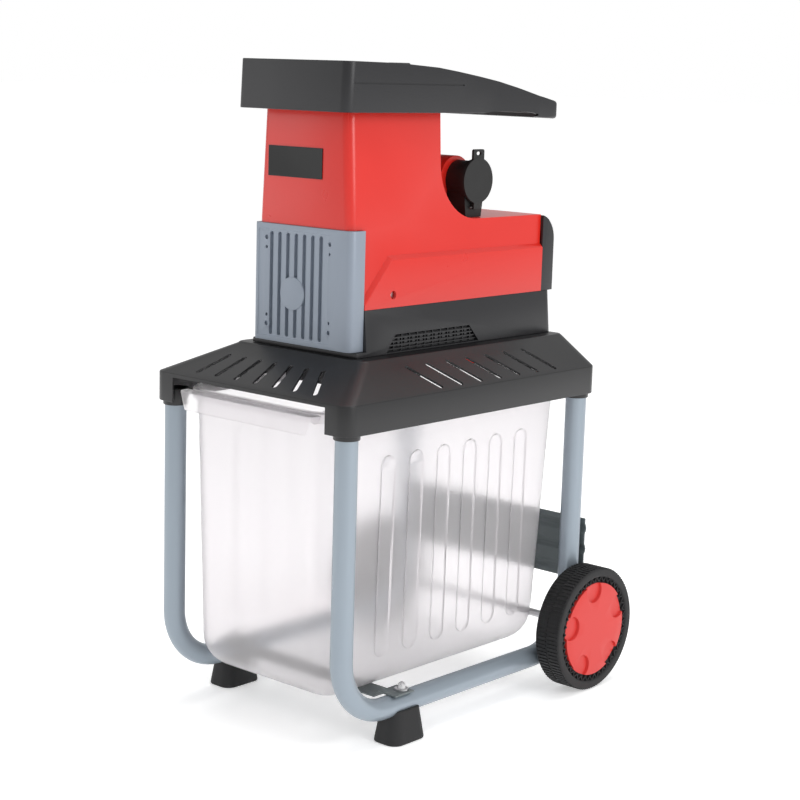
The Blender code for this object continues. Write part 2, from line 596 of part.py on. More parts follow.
def cutting_train():
    """Make the roller, its bearings and gear, and the motor that drives them."""
    blades = []
    for i in range(8):
        for offset, radius in ((0.0, ROLLER_RADIUS), (6.0, ROLLER_RADIUS - 0.001), (9.0, 0.0300), (36.0, 0.0300)):
            angle = math.radians(i * 45 + offset)
            blades.append((radius * math.cos(angle), radius * math.sin(angle)))
    outline("cutting_roller", blades, 0.1000, STEEL, (ROLLER_X, -0.0950, ROLLER_Z), FRONT_VIEW)
    combine(bpy.data.objects["cutting_roller"],
            rod("roller_journals", SHAFT_RADIUS, 0.1700, (ROLLER_X, -0.0800, ROLLER_Z), TO_Y), "UNION")
    ring = [(SHAFT_RADIUS + GAP, 0.005), (0.0170, 0.005), (0.0170, -0.005), (SHAFT_RADIUS + GAP, -0.005)]
    turned("front_roller_bearing", ring, 20, STEEL, (ROLLER_X, -0.1560, ROLLER_Z), TO_Y, closed=True)
    turned("rear_roller_bearing", ring, 20, STEEL, (ROLLER_X, -0.0290, ROLLER_Z), TO_Y, closed=True)
    gear = outline("drive_gear", gear_outline(GEAR_TEETH, 0.10), 0.0120, STEEL, (ROLLER_X, -0.0080, ROLLER_Z),
                   FRONT_VIEW)
    combine(gear, rod("gear_bore", SHAFT_RADIUS + GAP, 0.05, (ROLLER_X, -0.0080, ROLLER_Z), TO_Y))
    lean = math.atan2(ROTOR_Z - ROLLER_Z, ROTOR_X - ROLLER_X)
    gear_turn = round(lean / (math.tau / GEAR_TEETH)) * math.tau / GEAR_TEETH
    gear.data.transform(Matrix.Rotation(lean - gear_turn, 4, "Z"))
    pinion = outline("motor_rotor", gear_outline(PINION_TEETH, 0.10), 0.0140, STEEL,
                     (ROTOR_X, -0.0080, ROTOR_Z), FRONT_VIEW)
    pinion.data.transform(Matrix.Rotation(lean + math.tau / PINION_TEETH / 2, 4, "Z"))
    combine(pinion, rod("rotor_shaft", 0.0050, 0.2460, (ROTOR_X, 0.1080, ROTOR_Z), TO_Y), "UNION")
    stator = rod("motor_stator", MOTOR_RADIUS, 0.1200, (ROTOR_X, 0.1150, ROTOR_Z), TO_Y, COPPER, 28)
    combine(stator, rod("stator_bore", 0.0260, 0.1400, (ROTOR_X, 0.1150, ROTOR_Z), TO_Y, None, 24))
    turned("rotor_core", [(0.0050 + GAP, 0.060), (0.0250, 0.060), (0.0250, -0.060), (0.0050 + GAP, -0.060)],
                  24, STEEL, (ROTOR_X, 0.1150, ROTOR_Z), TO_Y, closed=True)
    fan = []
    for i in range(9):
        for offset, radius in ((0.0, 0.0120), (4.0, 0.0400), (12.0, 0.0400), (16.0, 0.0120)):
            angle = math.radians(i * 40 + offset)
            fan.append((radius * math.cos(angle), radius * math.sin(angle)))
    blades = outline("cooling_fan", fan, 0.0120, BLACK, (ROTOR_X, 0.2120, ROTOR_Z), FRONT_VIEW)
    combine(blades, rod("fan_bore", 0.0050 + GAP, 0.05, (ROTOR_X, 0.2120, ROTOR_Z), TO_Y))


def gear_bulkhead(name, y, thickness):
    """Cast one bearing wall across the body."""
    wall = block(name, (-0.0900, y - thickness / 2, DECK_TOP_Z + 0.010),
                 (0.0900, y + thickness / 2, 0.7000), GREY)
    combine(wall, rod(name + "_bearing_seat", 0.0170 + GAP, 0.06, (ROLLER_X, y, ROLLER_Z), TO_Y))
    if y > -0.1:
        combine(wall, rod(name + "_rotor_hole", 0.0095, 0.06, (ROTOR_X, y, ROTOR_Z), TO_Y))


def counter_plate():
    """Mill the pressure plate that branches are squeezed against."""
    plate = block("counter_plate", (0.0268, -0.1350, 0.5900), (0.0450, -0.0500, 0.6600), STEEL)
    combine(plate, rod("counter_hollow", ROLLER_RADIUS + 0.0060, 0.2, (ROLLER_X, -0.0900, ROLLER_Z), TO_Y))
    turned("adjusting_screw", [(0.0, 0.0480), (0.0050, 0.0480), (0.0050, 0.0420), (0.0030, 0.0410),
                               (0.0030, 0.0), (0.0, 0.0)],
           16, STEEL, (0.0456, -0.0900, ROLLER_Z + 0.004), TO_X)


def discharge_chute():
    """Fold the outlet that drops the chips through the deck into the bin."""
    chute = block("discharge_chute", (-0.0800, -0.1250, 0.4920), (0.0800, -0.0050, 0.5560), BLACK)
    combine(chute, block("discharge_inside", (-0.0770, -0.1220, 0.4600), (0.0770, -0.0080, 0.5700)))


def bin_lock():
    """Mould the sliding bolt that lets the motor run only with the bin home."""
    block("bin_lock_slider", (-0.0100, 0.1860, 0.4920), (0.0100, 0.2140, 0.6000), RED)


def collection_bin():
    """Blow the milky bin: tapered walls, round corners and a rolled rim."""
    tub = block("collection_bin", (-BIN_BOTTOM_X, BIN_BOTTOM_FRONT_Y, BIN_BOTTOM_Z),
                (BIN_BOTTOM_X, BIN_BOTTOM_REAR_Y, BIN_TOP_Z), BIN_MILK,
                (-BIN_X, BIN_FRONT_Y), (BIN_X, BIN_REAR_Y))
    form = bmesh.new()
    form.from_mesh(tub.data)
    top = max(v.co.z for v in form.verts)
    lid = [f for f in form.faces if all(v.co.z > top - 0.001 for v in f.verts)]
    bmesh.ops.delete(form, geom=lid, context="FACES_ONLY")
    body_edges = [e for e in form.edges if len(e.link_faces) == 2]
    bmesh.ops.bevel(form, geom=body_edges, offset=BIN_CORNER, segments=5, profile=0.5,
                     affect="EDGES", clamp_overlap=True)
    rim = [e for e in form.edges if len(e.link_faces) == 1]
    for grow, drop in ((0.0035, 0.0), (0.0005, -0.012)):
        ring = bmesh.ops.extrude_edge_only(form, edges=rim)
        moved = [v for v in ring["geom"] if isinstance(v, bmesh.types.BMVert)]
        for corner in moved:
            corner.co.x += grow * (1 if corner.co.x > 0 else -1)
            corner.co.y += grow * (1 if corner.co.y > 0 else -1)
            corner.co.z += drop
        rim = [e for e in ring["geom"] if isinstance(e, bmesh.types.BMEdge)]
        rim = [e for e in rim if len(e.link_faces) == 1]
    bmesh.ops.recalc_face_normals(form, faces=form.faces[:])
    form.to_mesh(tub.data)
    form.free()
    wall = tub.modifiers.new("wall", "SOLIDIFY")
    wall.thickness = BIN_WALL
    wall.offset = 1.0
    wall.use_even_offset = True
    grip = block("bin_handle", (-0.1350, -0.2900, BIN_TOP_Z - 0.0100), (0.1350, BIN_FRONT_Y - 0.0050, BIN_TOP_Z))
    combine(tub, grip, "UNION")


def build():
    """Make every part, then hang the whole machine from one shifted empty."""
    for name, sign in (("left", -1), ("right", 1)):
        side_frame(name + "_side_frame", sign * LEG_X)
        front_foot(name + "_front_foot", sign * LEG_X)
        strap_bolt(name + "_strap_nut", sign * LEG_X)
        wheel(name, sign)
        for end, y in (("front", -LEG_Y), ("rear", LEG_Y)):
            leg_socket(name + "_" + end + "_leg_socket", sign * LEG_X, y)
    cross_strap()
    rear_crossbar()
    wheel_axle()
    deck_cover()
    lower_housing()
    upper_housing()
    cutter_end_plate()
    rear_end_cover()
    button("start_button", -0.030, 0.0090, GREEN)
    button("stop_button", 0.000, 0.0090, RED)
    button("overload_reset", -0.060, 0.0055, BLACK)
    direction_knob()
    hopper_top()
    feed_chute()
    label_plate()
    plug_inlet()
    inlet_cap()
    cutting_train()
    gear_bulkhead("roller_front_wall", -0.1560, 0.010)
    gear_bulkhead("gear_wall", -0.0290, 0.010)
    counter_plate()
    discharge_chute()
    bin_lock()
    collection_bin()
    base = bpy.data.objects.new("machine_origin", None)
    base.location = (0.0, -FRAME_CENTRE_Y, 0.0)
    PARTS.objects.link(base)
    for part in list(PARTS.objects) + list(CUTTERS.objects):
        if part is not base:
            part.parent = base


build()
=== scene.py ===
# %% [markdown]
# # A roller garden shredder
# The machine is a red plastic body on a black deck, carried by two bent steel tubes and two wheels.
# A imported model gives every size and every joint. This lesson builds the fine surfaces around it.

# %% Load the frame
import json
import math

import bmesh
import bpy
from mathutils import Matrix, Vector


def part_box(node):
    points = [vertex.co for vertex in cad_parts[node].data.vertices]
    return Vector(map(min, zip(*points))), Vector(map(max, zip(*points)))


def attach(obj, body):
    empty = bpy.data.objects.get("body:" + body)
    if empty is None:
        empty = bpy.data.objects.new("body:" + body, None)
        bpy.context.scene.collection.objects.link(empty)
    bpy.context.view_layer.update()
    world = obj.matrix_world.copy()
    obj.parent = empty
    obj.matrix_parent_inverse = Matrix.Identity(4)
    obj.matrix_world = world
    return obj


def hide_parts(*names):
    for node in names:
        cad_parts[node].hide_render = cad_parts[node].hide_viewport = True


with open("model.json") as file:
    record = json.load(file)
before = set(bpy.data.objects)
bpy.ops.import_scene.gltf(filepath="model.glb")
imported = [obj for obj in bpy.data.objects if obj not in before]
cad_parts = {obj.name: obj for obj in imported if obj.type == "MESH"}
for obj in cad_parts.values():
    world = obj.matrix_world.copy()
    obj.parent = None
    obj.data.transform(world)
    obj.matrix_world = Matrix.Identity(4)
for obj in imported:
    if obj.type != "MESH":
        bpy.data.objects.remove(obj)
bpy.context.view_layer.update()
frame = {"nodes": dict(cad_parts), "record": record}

# %% [markdown]
# Most pieces are symmetric about X = 0, and the legs are symmetric about one Y. All places are worked
# out from the boxes of the nodes that they belong to, so the looks follow the design.

# %% Middle of the legs
tube_low, tube_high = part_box("left_side_frame")
MID_Y = (tube_low[1] + tube_high[1]) / 2
BODY_FRONT_Y = -0.1756
PLATE_SEAT_Y = -0.1497
MOTOR_TOP_Z = 0.7320
NECK_REAR_Y = 0.0165
COVER_FRONT_Y = 0.2555
HOPPER_UNDER_Z = 0.8877
PARTING_LOW_Z = 0.9265
PARTING_HIGH_Z = 0.9285
BIN_HALF_LOW = 0.1420
BIN_HALF_TOP = 0.1482
BIN_TOP_Z = 0.4840
DOORWAY_HALF = 0.1535
INLET_Y = 0.1120
INLET_Z = 0.7870
print("legs are centred on y =", round(MID_Y, 4))


def at(x, y, z):
    """A point given from the middle of the legs."""
    return Vector((x, MID_Y + y, z))


# %% [markdown]
# Operators work on whatever is selected. These helpers select one thing, open edit mode, and pick
# faces, edges or points by where they are or which way they face.

# %% Selecting and editing
def only(piece):
    """Select one object and make it active."""
    bpy.ops.object.select_all(action="DESELECT")
    piece.select_set(True)
    bpy.context.view_layer.objects.active = piece


def edit(piece, mode="FACE"):
    """Open edit mode with nothing selected."""
    only(piece)
    bpy.ops.object.mode_set(mode="EDIT")
    bpy.ops.mesh.select_mode(type=mode)
    bpy.ops.mesh.select_all(action="DESELECT")


def done():
    """Close edit mode."""
    bpy.ops.object.mode_set(mode="OBJECT")


def pick_faces(test):
    """Select the faces of the edited mesh whose middle and normal pass a test."""
    shape = bmesh.from_edit_mesh(bpy.context.object.data)
    chosen = [f for f in shape.faces if test(f.calc_center_median(), f.normal)]
    for face in chosen:
        face.select_set(True)
    shape.select_flush(True)
    bmesh.update_edit_mesh(bpy.context.object.data)
    return len(chosen)


def pick_edges(test):
    """Select the edges of the edited mesh whose ends pass a test."""
    shape = bmesh.from_edit_mesh(bpy.context.object.data)
    chosen = [e for e in shape.edges if test(e.verts[0].co, e.verts[1].co)]
    for edge in chosen:
        edge.select_set(True)
    bmesh.update_edit_mesh(bpy.context.object.data)
    return len(chosen)


def pick_points(test):
    """Select the points of the edited mesh that pass a test."""
    shape = bmesh.from_edit_mesh(bpy.context.object.data)
    chosen = [v for v in shape.verts if test(v.co)]
    for point in chosen:
        point.select_set(True)
    bmesh.update_edit_mesh(bpy.context.object.data)
    return len(chosen)


def shift(x=0.0, y=0.0, z=0.0):
    """Move the selection."""
    bpy.ops.transform.translate(value=(x, y, z))


def upright(a, b):
    """True for an edge that runs up and down."""
    return abs(a.x - b.x) < 0.002 and abs(a.y - b.y) < 0.004 and abs(a.z - b.z) > 0.004


print("selection helpers ready")


# %% Starting solids
def settle(piece, name):
    """Name a piece and put its place into its mesh."""
    piece.name = name
    piece.data.name = name
    only(piece)
    bpy.ops.object.transform_apply(location=True, rotation=True, scale=True)
    return piece


def cube(name, low, high):
    """A box between two corners."""
    low = Vector(low)
    high = Vector(high)
    bpy.ops.mesh.primitive_cube_add(size=1.0, location=(low + high) / 2)
    bpy.context.object.scale = high - low
    return settle(bpy.context.object, name)


def drum(name, radius, depth, centre, axis="Z", sides=48):
    """A cylinder along one axis."""
    turn = {"X": (0.0, math.pi / 2, 0.0), "Y": (math.pi / 2, 0.0, 0.0), "Z": (0.0, 0.0, 0.0)}[axis]
    bpy.ops.mesh.primitive_cylinder_add(vertices=sides, radius=radius, depth=depth, location=centre,
                                        rotation=turn)
    return settle(bpy.context.object, name)


def apply_all(piece):
    """Apply every modifier of a piece, in order."""
    only(piece)
    for name in [m.name for m in piece.modifiers]:
        bpy.ops.object.modifier_apply(modifier=name)


def carve(piece, cutter, operation="DIFFERENCE"):
    """Cut a piece with a tool, or weld the tool to it, and remove the tool."""
    change = piece.modifiers.new("carve", "BOOLEAN")
    change.operation = operation
    change.object = cutter
    apply_all(piece)
    bpy.data.objects.remove(cutter, do_unlink=True)


def soften(piece, width, segments=3, angle=32):
    """Round the sharp edges of a piece."""
    bevel = piece.modifiers.new("soft_edges", "BEVEL")
    bevel.width = width
    bevel.segments = segments
    bevel.limit_method = "ANGLE"
    bevel.angle_limit = math.radians(angle)
    bevel.use_clamp_overlap = True
    apply_all(piece)


def smooth(piece, angle=30):
    """Shade a piece smooth up to an angle."""
    only(piece)
    bpy.ops.object.shade_smooth_by_angle(angle=math.radians(angle))


def round_edges(piece, test, radius, segments=6):
    """Round chosen edges with a large radius."""
    edit(piece, "EDGE")
    count = pick_edges(test)
    bpy.ops.mesh.bevel(offset=radius, segments=segments, affect="EDGES", clamp_overlap=True)
    done()
    return count


def stadium(name, length, width, depth):
    """A slot cutter along X with round ends, lying at the origin, cutting along Z."""
    bpy.ops.mesh.primitive_cube_add(size=1.0)
    tool = bpy.context.object
    tool.scale = (length - width, width, depth)
    settle(tool, name)
    for end in (-1, 1):
        carve(tool, drum(name + "_end", width / 2, depth, (end * (length - width) / 2, 0, 0), "Z", 20),
              "UNION")
    return tool


def copy_of(piece, name, placing):
    """A copy with its own mesh, moved by a matrix."""
    twin = piece.copy()
    twin.data = piece.data.copy()
    twin.name = name
    twin.data.name = name
    twin.data.transform(placing)
    bpy.context.scene.collection.objects.link(twin)
    return twin


def join(pieces, name):
    """Join several pieces into one."""
    bpy.ops.object.select_all(action="DESELECT")
    for piece in pieces:
        piece.select_set(True)
    bpy.context.view_layer.objects.active = pieces[0]
    bpy.ops.object.join()
    pieces[0].name = name
    return pieces[0]


print("solid helpers ready")

# %% [markdown]
# ## Finishes
# Moulded plastic is never quite even. It carries a fine spark-eroded grain, a little dust, and a polish that
# varies from place to place. One node group makes all three, and each material gives it its own strengths.


# %% Moulded surface group
def socket(tree, name, kind, side, value=None):
    """Add one socket to a node group."""
    made = tree.interface.new_socket(name=name, socket_type=kind, in_out=side)
    if value is not None:
        made.default_value = value
    return made


def moulded_group():
    """Grain, mottled tone and uneven polish for a moulded or painted surface."""
    tree = bpy.data.node_groups.new("moulded_surface", "ShaderNodeTree")
    socket(tree, "Colour", "NodeSocketColor", "INPUT", (0.5, 0.5, 0.5, 1.0))
    socket(tree, "Tone Shift", "NodeSocketFloat", "INPUT", 0.06)
    socket(tree, "Grain Scale", "NodeSocketFloat", "INPUT", 1500.0)
    socket(tree, "Grain Depth", "NodeSocketFloat", "INPUT", 0.1)
    socket(tree, "Roughness", "NodeSocketFloat", "INPUT", 0.4)
    socket(tree, "Roughness Spread", "NodeSocketFloat", "INPUT", 0.1)
    socket(tree, "Colour", "NodeSocketColor", "OUTPUT")
    socket(tree, "Roughness", "NodeSocketFloat", "OUTPUT")
    socket(tree, "Normal", "NodeSocketVector", "OUTPUT")
    add = tree.nodes.new
    link = tree.links.new
    given = add("NodeGroupInput")
    result = add("NodeGroupOutput")
    place = add("ShaderNodeTexCoord")
    cloud = add("ShaderNodeTexNoise")
    cloud.inputs["Scale"].default_value = 14.0
    cloud.inputs["Detail"].default_value = 5.0
    link(place.outputs["Object"], cloud.inputs["Vector"])
    centred = add("ShaderNodeMath")
    centred.operation = "SUBTRACT"
    centred.inputs[1].default_value = 0.5
    link(cloud.outputs["Fac"], centred.inputs[0])
    swing = add("ShaderNodeMath")
    swing.operation = "MULTIPLY"
    link(centred.outputs[0], swing.inputs[0])
    link(given.outputs["Tone Shift"], swing.inputs[1])
    level = add("ShaderNodeMath")
    level.operation = "ADD"
    level.inputs[1].default_value = 1.0
    link(swing.outputs[0], level.inputs[0])
    tint = add("ShaderNodeVectorMath")
    tint.operation = "SCALE"
    link(given.outputs["Colour"], tint.inputs[0])
    link(level.outputs[0], tint.inputs["Scale"])
    link(tint.outputs["Vector"], result.inputs["Colour"])
    polish = add("ShaderNodeMath")
    polish.operation = "MULTIPLY_ADD"
    link(centred.outputs[0], polish.inputs[0])
    link(given.outputs["Roughness Spread"], polish.inputs[1])
    link(given.outputs["Roughness"], polish.inputs[2])
    link(polish.outputs[0], result.inputs["Roughness"])
    grain = add("ShaderNodeTexNoise")
    grain.inputs["Detail"].default_value = 2.0
    link(place.outputs["Object"], grain.inputs["Vector"])
    link(given.outputs["Grain Scale"], grain.inputs["Scale"])
    bump = add("ShaderNodeBump")
    bump.inputs["Distance"].default_value = 0.0004
    link(given.outputs["Grain Depth"], bump.inputs["Strength"])
    link(grain.outputs["Fac"], bump.inputs["Height"])
    link(bump.outputs["Normal"], result.inputs["Normal"])
    return tree


MOULDED = moulded_group()
print("group inputs:", len(MOULDED.interface.items_tree))


# %% Materials from the group
def moulded(name, colour, roughness, grain, scale=1500.0, metal=0.0, tone=0.06, spread=0.12, coat=0.0):
    """A moulded, cast or painted finish."""
    finish = bpy.data.materials.new(name)
    finish.use_nodes = True
    tree = finish.node_tree
    shader = tree.nodes["Principled BSDF"]
    surface = tree.nodes.new("ShaderNodeGroup")
    surface.node_tree = MOULDED
    surface.inputs["Colour"].default_value = (*colour, 1.0)
    surface.inputs["Tone Shift"].default_value = tone
    surface.inputs["Grain Scale"].default_value = scale
    surface.inputs["Grain Depth"].default_value = grain
    surface.inputs["Roughness"].default_value = roughness
    surface.inputs["Roughness Spread"].default_value = spread
    tree.links.new(surface.outputs["Colour"], shader.inputs["Base Color"])
    tree.links.new(surface.outputs["Roughness"], shader.inputs["Roughness"])
    tree.links.new(surface.outputs["Normal"], shader.inputs["Normal"])
    shader.inputs["Metallic"].default_value = metal
    shader.inputs["Coat Weight"].default_value = coat
    shader.inputs["Coat Roughness"].default_value = 0.15
    return finish


RED = moulded("red_housing", (0.66, 0.018, 0.010), 0.30, 0.05, coat=0.20)
HUB_RED = moulded("hub_red", (0.62, 0.030, 0.024), 0.42, 0.10)
BLACK = moulded("black_plastic", (0.012, 0.012, 0.014), 0.38, 0.16)
DECK_BLACK = moulded("deck_black", (0.009, 0.009, 0.010), 0.34, 0.14)
SOFT_BLACK = moulded("soft_black", (0.006, 0.006, 0.006), 0.55, 0.10)
GREY = moulded("cast_grey", (0.27, 0.31, 0.37), 0.42, 0.20, 900.0, 0.15)
TUBE = moulded("tube_paint", (0.30, 0.35, 0.40), 0.32, 0.08, 1200.0, 0.40)
STEEL = moulded("bright_steel", (0.60, 0.60, 0.61), 0.28, 0.06, 700.0, 1.0)
RUBBER = moulded("black_rubber", (0.010, 0.010, 0.011), 0.66, 0.35, 900.0)
CROSS = moulded("crossbar_paint", (0.14, 0.165, 0.17), 0.42, 0.10, 1200.0, 0.25)
COPPER = moulded("motor_windings", (0.42, 0.17, 0.07), 0.40, 0.30, 500.0, 0.7)
GREEN = moulded("green_button", (0.03, 0.30, 0.06), 0.35, 0.05)
print("finishes:", len(bpy.data.materials))

# %% [markdown]
# The bin is milky polypropylene. Light goes through it and is scattered on the way, so what is behind it
# shows only as a soft shadow. A rough transmission mixed with a white body colour gives that.


# %% Milky plastic
def milky():
    """Translucent white plastic."""
    finish = moulded("milky_plastic", (0.97, 0.955, 0.965), 0.30, 0.06, 500.0, 0.0, 0.03, 0.08)
    shader = finish.node_tree.nodes["Principled BSDF"]
    shader.inputs["Transmission Weight"].default_value = 0.86
    shader.inputs["IOR"].default_value = 1.12
    return finish


MILK = milky()
print("bin finish:", MILK.name)

# %% [markdown]
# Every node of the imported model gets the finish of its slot. Nodes that need a finer shape are replaced
# further down.

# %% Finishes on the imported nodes
SLOT_FINISH = {"red_housing": RED, "black_plastic": BLACK, "cast_grey": GREY, "tube_paint": TUBE,
               "bright_steel": STEEL, "black_rubber": RUBBER, "milky_plastic": MILK,
               "crossbar_paint": CROSS, "motor_windings": COPPER, "green_button": GREEN}
slot_of = {part["node"]: part["material_slot"] for part in frame["record"]["subparts"]}
for node, thing in frame["nodes"].items():
    thing.data.materials.clear()
    thing.data.materials.append(SLOT_FINISH[slot_of[node]])
print("nodes with a finish:", len(slot_of))


def hand_over(piece, finish, node, *others):
    """Give a finished piece its finish and its body, and hide the nodes that it stands for."""
    bodies = frame["record"]["behaviour"]["bodies"]
    owner = next(name for name, members in bodies.items() if node in members)
    add_piece(piece, finish, owner)
    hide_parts(node, *others)


def add_piece(piece, finish, body):
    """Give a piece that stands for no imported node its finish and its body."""
    piece.data.materials.clear()
    piece.data.materials.append(finish)
    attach(piece, body)
    print(piece.name, "points:", len(piece.data.vertices))


# %% [markdown]
# ## Side frames
# Each side frame is one round tube. A circle is extruded down the front leg, spun through the bend, pulled
# along the floor, spun up again and extruded to the top. Spin gives a true bend where a box would kink.


# %% Bent tubes
def bent_tube(name, node):
    """Draw one round tube along the two legs and the bottom run."""
    low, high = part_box(node)
    x = (low[0] + high[0]) / 2
    radius = (high[0] - low[0]) / 2
    front = low[1] + radius
    rear = high[1] - radius
    run_z = low[2] + radius
    bend = 0.0875
    bpy.ops.mesh.primitive_circle_add(vertices=40, radius=radius, fill_type="NGON",
                                      location=(x, front, high[2] - 0.0005))
    tube = settle(bpy.context.object, name)
    edit(tube)
    bpy.ops.mesh.select_all(action="SELECT")
    bpy.ops.mesh.extrude_region_move(TRANSFORM_OT_translate={"value": (0, 0, run_z + bend - high[2])})
    bpy.ops.mesh.spin(steps=14, angle=-math.pi / 2, center=(x, front + bend, run_z + bend), axis=(1, 0, 0))
    bpy.ops.mesh.extrude_region_move(TRANSFORM_OT_translate={"value": (0, rear - front - 2 * bend, 0)})
    bpy.ops.mesh.spin(steps=14, angle=-math.pi / 2, center=(x, rear - bend, run_z + bend), axis=(1, 0, 0))
    bpy.ops.mesh.extrude_region_move(TRANSFORM_OT_translate={"value": (0, 0, high[2] - run_z - bend)})
    bpy.ops.mesh.select_all(action="SELECT")
    bpy.ops.mesh.remove_doubles(threshold=0.00002)
    bpy.ops.mesh.normals_make_consistent(inside=False)
    done()
    smooth(tube, 50)
    return tube


for side in ("left", "right"):
    hand_over(bent_tube(side + "_frame_tube", side + "_side_frame"), TUBE, side + "_side_frame")

# %% [markdown]
# ## Feet
# A rubber foot is a tapered block with rounded corners and a saddle where it grips the tube.


# %% Rubber feet
def foot(name, node):
    """Taper and round a rubber foot."""
    low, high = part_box(node)
    block = cube(name, low, (high[0], high[1], high[2] + 0.004))
    edit(block)
    pick_faces(lambda c, n: n.z > 0.9)
    bpy.ops.transform.resize(value=(0.80, 0.79, 1.0))
    done()
    round_edges(block, lambda a, b: abs(a.z - b.z) > 0.01, 0.017, 8)
    soften(block, 0.0022, 3, 40)
    saddle = ((low[0] + high[0]) / 2, (low[1] + high[1]) / 2, 0.054)
    carve(block, drum(name + "_saddle", 0.0164, 0.2, saddle, "Y"))
    edit(block)
    bpy.ops.mesh.select_all(action="SELECT")
    bpy.ops.mesh.normals_make_consistent(inside=False)
    done()
    smooth(block, 35)
    return block


for side in ("left", "right"):
    hand_over(foot(side + "_rubber_foot", side + "_front_foot"), RUBBER, side + "_front_foot")

# %% [markdown]
# ## Wheels
# The tyre is a solid moulding: fine cross blocks on the tread with a mould line in the middle, a plain
# outer wall, and a sunken ring of zigzag ribs next to the red cover. The end face of a cylinder is inset
# for the rings, and the ribs and blocks are small bars copied round the wheel.


# %% Tyre
def ring_copies(piece, name, count, centre, turn=0.0):
    """Copy a piece round an axis along X and join the copies."""
    made = []
    for i in range(count):
        spin = Matrix.Rotation(math.tau * i / count + turn, 4, "X")
        placing = Matrix.Translation(centre) @ spin @ Matrix.Translation(-centre)
        made.append(copy_of(piece, name + "_part", placing))
    bpy.data.objects.remove(piece, do_unlink=True)
    return join(made, name)


def tyre(name, node, outward):
    """Shape a tyre with a sunken ring on its outer side."""
    low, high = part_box(node)
    centre = (Vector(low) + Vector(high)) / 2
    radius = (high[2] - low[2]) / 2
    width = high[0] - low[0]
    body = drum(name, radius - 0.0012, width, centre, "X", 96)
    edit(body)
    pick_faces(lambda c, n: n.x * outward > 0.9)
    bpy.ops.mesh.inset(thickness=0.0125)
    bpy.ops.mesh.inset(thickness=0.0012)
    shift(x=-0.0055 * outward)
    done()
    soften(body, 0.0030, 4, 50)
    block = cube("tread_block", centre + Vector((-width * 0.44, -0.0017, radius - 0.0030)),
                 centre + Vector((-0.0012, 0.0017, radius)))
    other = copy_of(block, "tread_block_b", Matrix.Translation((width * 0.44 + 0.0012, 0, 0)))
    rows = ring_copies(block, "tread_a", 96, centre)
    more = ring_copies(other, "tread_b", 96, centre, math.pi / 96)
    face_x = centre.x + outward * (width / 2 - 0.0040)
    rib = cube("zigzag_rib", (face_x - 0.0022, centre.y - 0.0008, centre.z + radius - 0.0230),
               (face_x + 0.0022, centre.y + 0.0008, centre.z + radius - 0.0135))
    ribs = []
    for lean in (-0.55, 0.55):
        pivot = Vector((face_x, centre.y + lean * 0.0065, centre.z + radius - 0.0183))
        tilt = Matrix.Translation(pivot) @ Matrix.Rotation(lean, 4, "X") @ Matrix.Translation(
            -Vector((face_x, centre.y, centre.z + radius - 0.0183)))
        ribs.append(copy_of(rib, "zigzag_rib_part", tilt))
    bpy.data.objects.remove(rib, do_unlink=True)
    zigzag = ring_copies(join(ribs, "zigzag_pair"), "zigzag", 40, centre)
    whole = join([body, rows, more, zigzag], name)
    smooth(whole, 40)
    return whole


for side, outward in (("left", -1), ("right", 1)):
    hand_over(tyre(side + "_moulded_tyre", side + "_tyre", outward), RUBBER, side + "_tyre")

# %% [markdown]
# The red cover is a shallow dish with five thumb-shaped hollows at its rim. Five short cylinders, narrower
# at the bottom, carve them, and a fine bevel rounds what they leave.


# %% Hub covers
def hub_cover(name, tyre_node, outward):
    """Carve five hollows into a shallow domed disc."""
    low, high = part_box(tyre_node)
    centre = (Vector(low) + Vector(high)) / 2
    face = high[0] if outward > 0 else low[0]
    depth = 0.0120
    reach = 0.0630
    middle = Vector((face - outward * (depth / 2 + 0.0008), centre.y, centre.z))
    dish = drum(name, 0.0730, depth, middle, "X", 96)
    edit(dish)
    pick_faces(lambda c, n: n.x * outward > 0.9)
    bpy.ops.mesh.inset(thickness=0.0160)
    shift(x=outward * 0.0008)
    bpy.ops.mesh.inset(thickness=0.0300)
    shift(x=outward * 0.0003)
    done()
    for i in range(5):
        angle = math.tau * i / 5 + 0.42
        place = middle + Vector((outward * (depth / 2 + 0.0043), reach * math.cos(angle),
                                 reach * math.sin(angle)))
        tool = drum("thumb", 0.0205, 0.0160, place, "X", 40)
        edit(tool)
        pick_faces(lambda c, n: n.x * outward < -0.9)
        bpy.ops.transform.resize(value=(1.0, 0.88, 0.88))
        done()
        carve(dish, tool)
    soften(dish, 0.0011, 3, 35)
    smooth(dish, 35)
    return dish


for side, outward in (("left", -1), ("right", 1)):
    hand_over(hub_cover(side + "_red_cover", side + "_tyre", outward), HUB_RED, side + "_hub_cover",
              side + "_wheel_hub")

# %% [markdown]
# ## Deck
# The deck is one black moulding: an upright rim, slopes at the front and sides up to a small terrace, and
# rows of slanted slots. A box is extruded and drawn in for the slopes, then its underside is opened and
# given a wall.


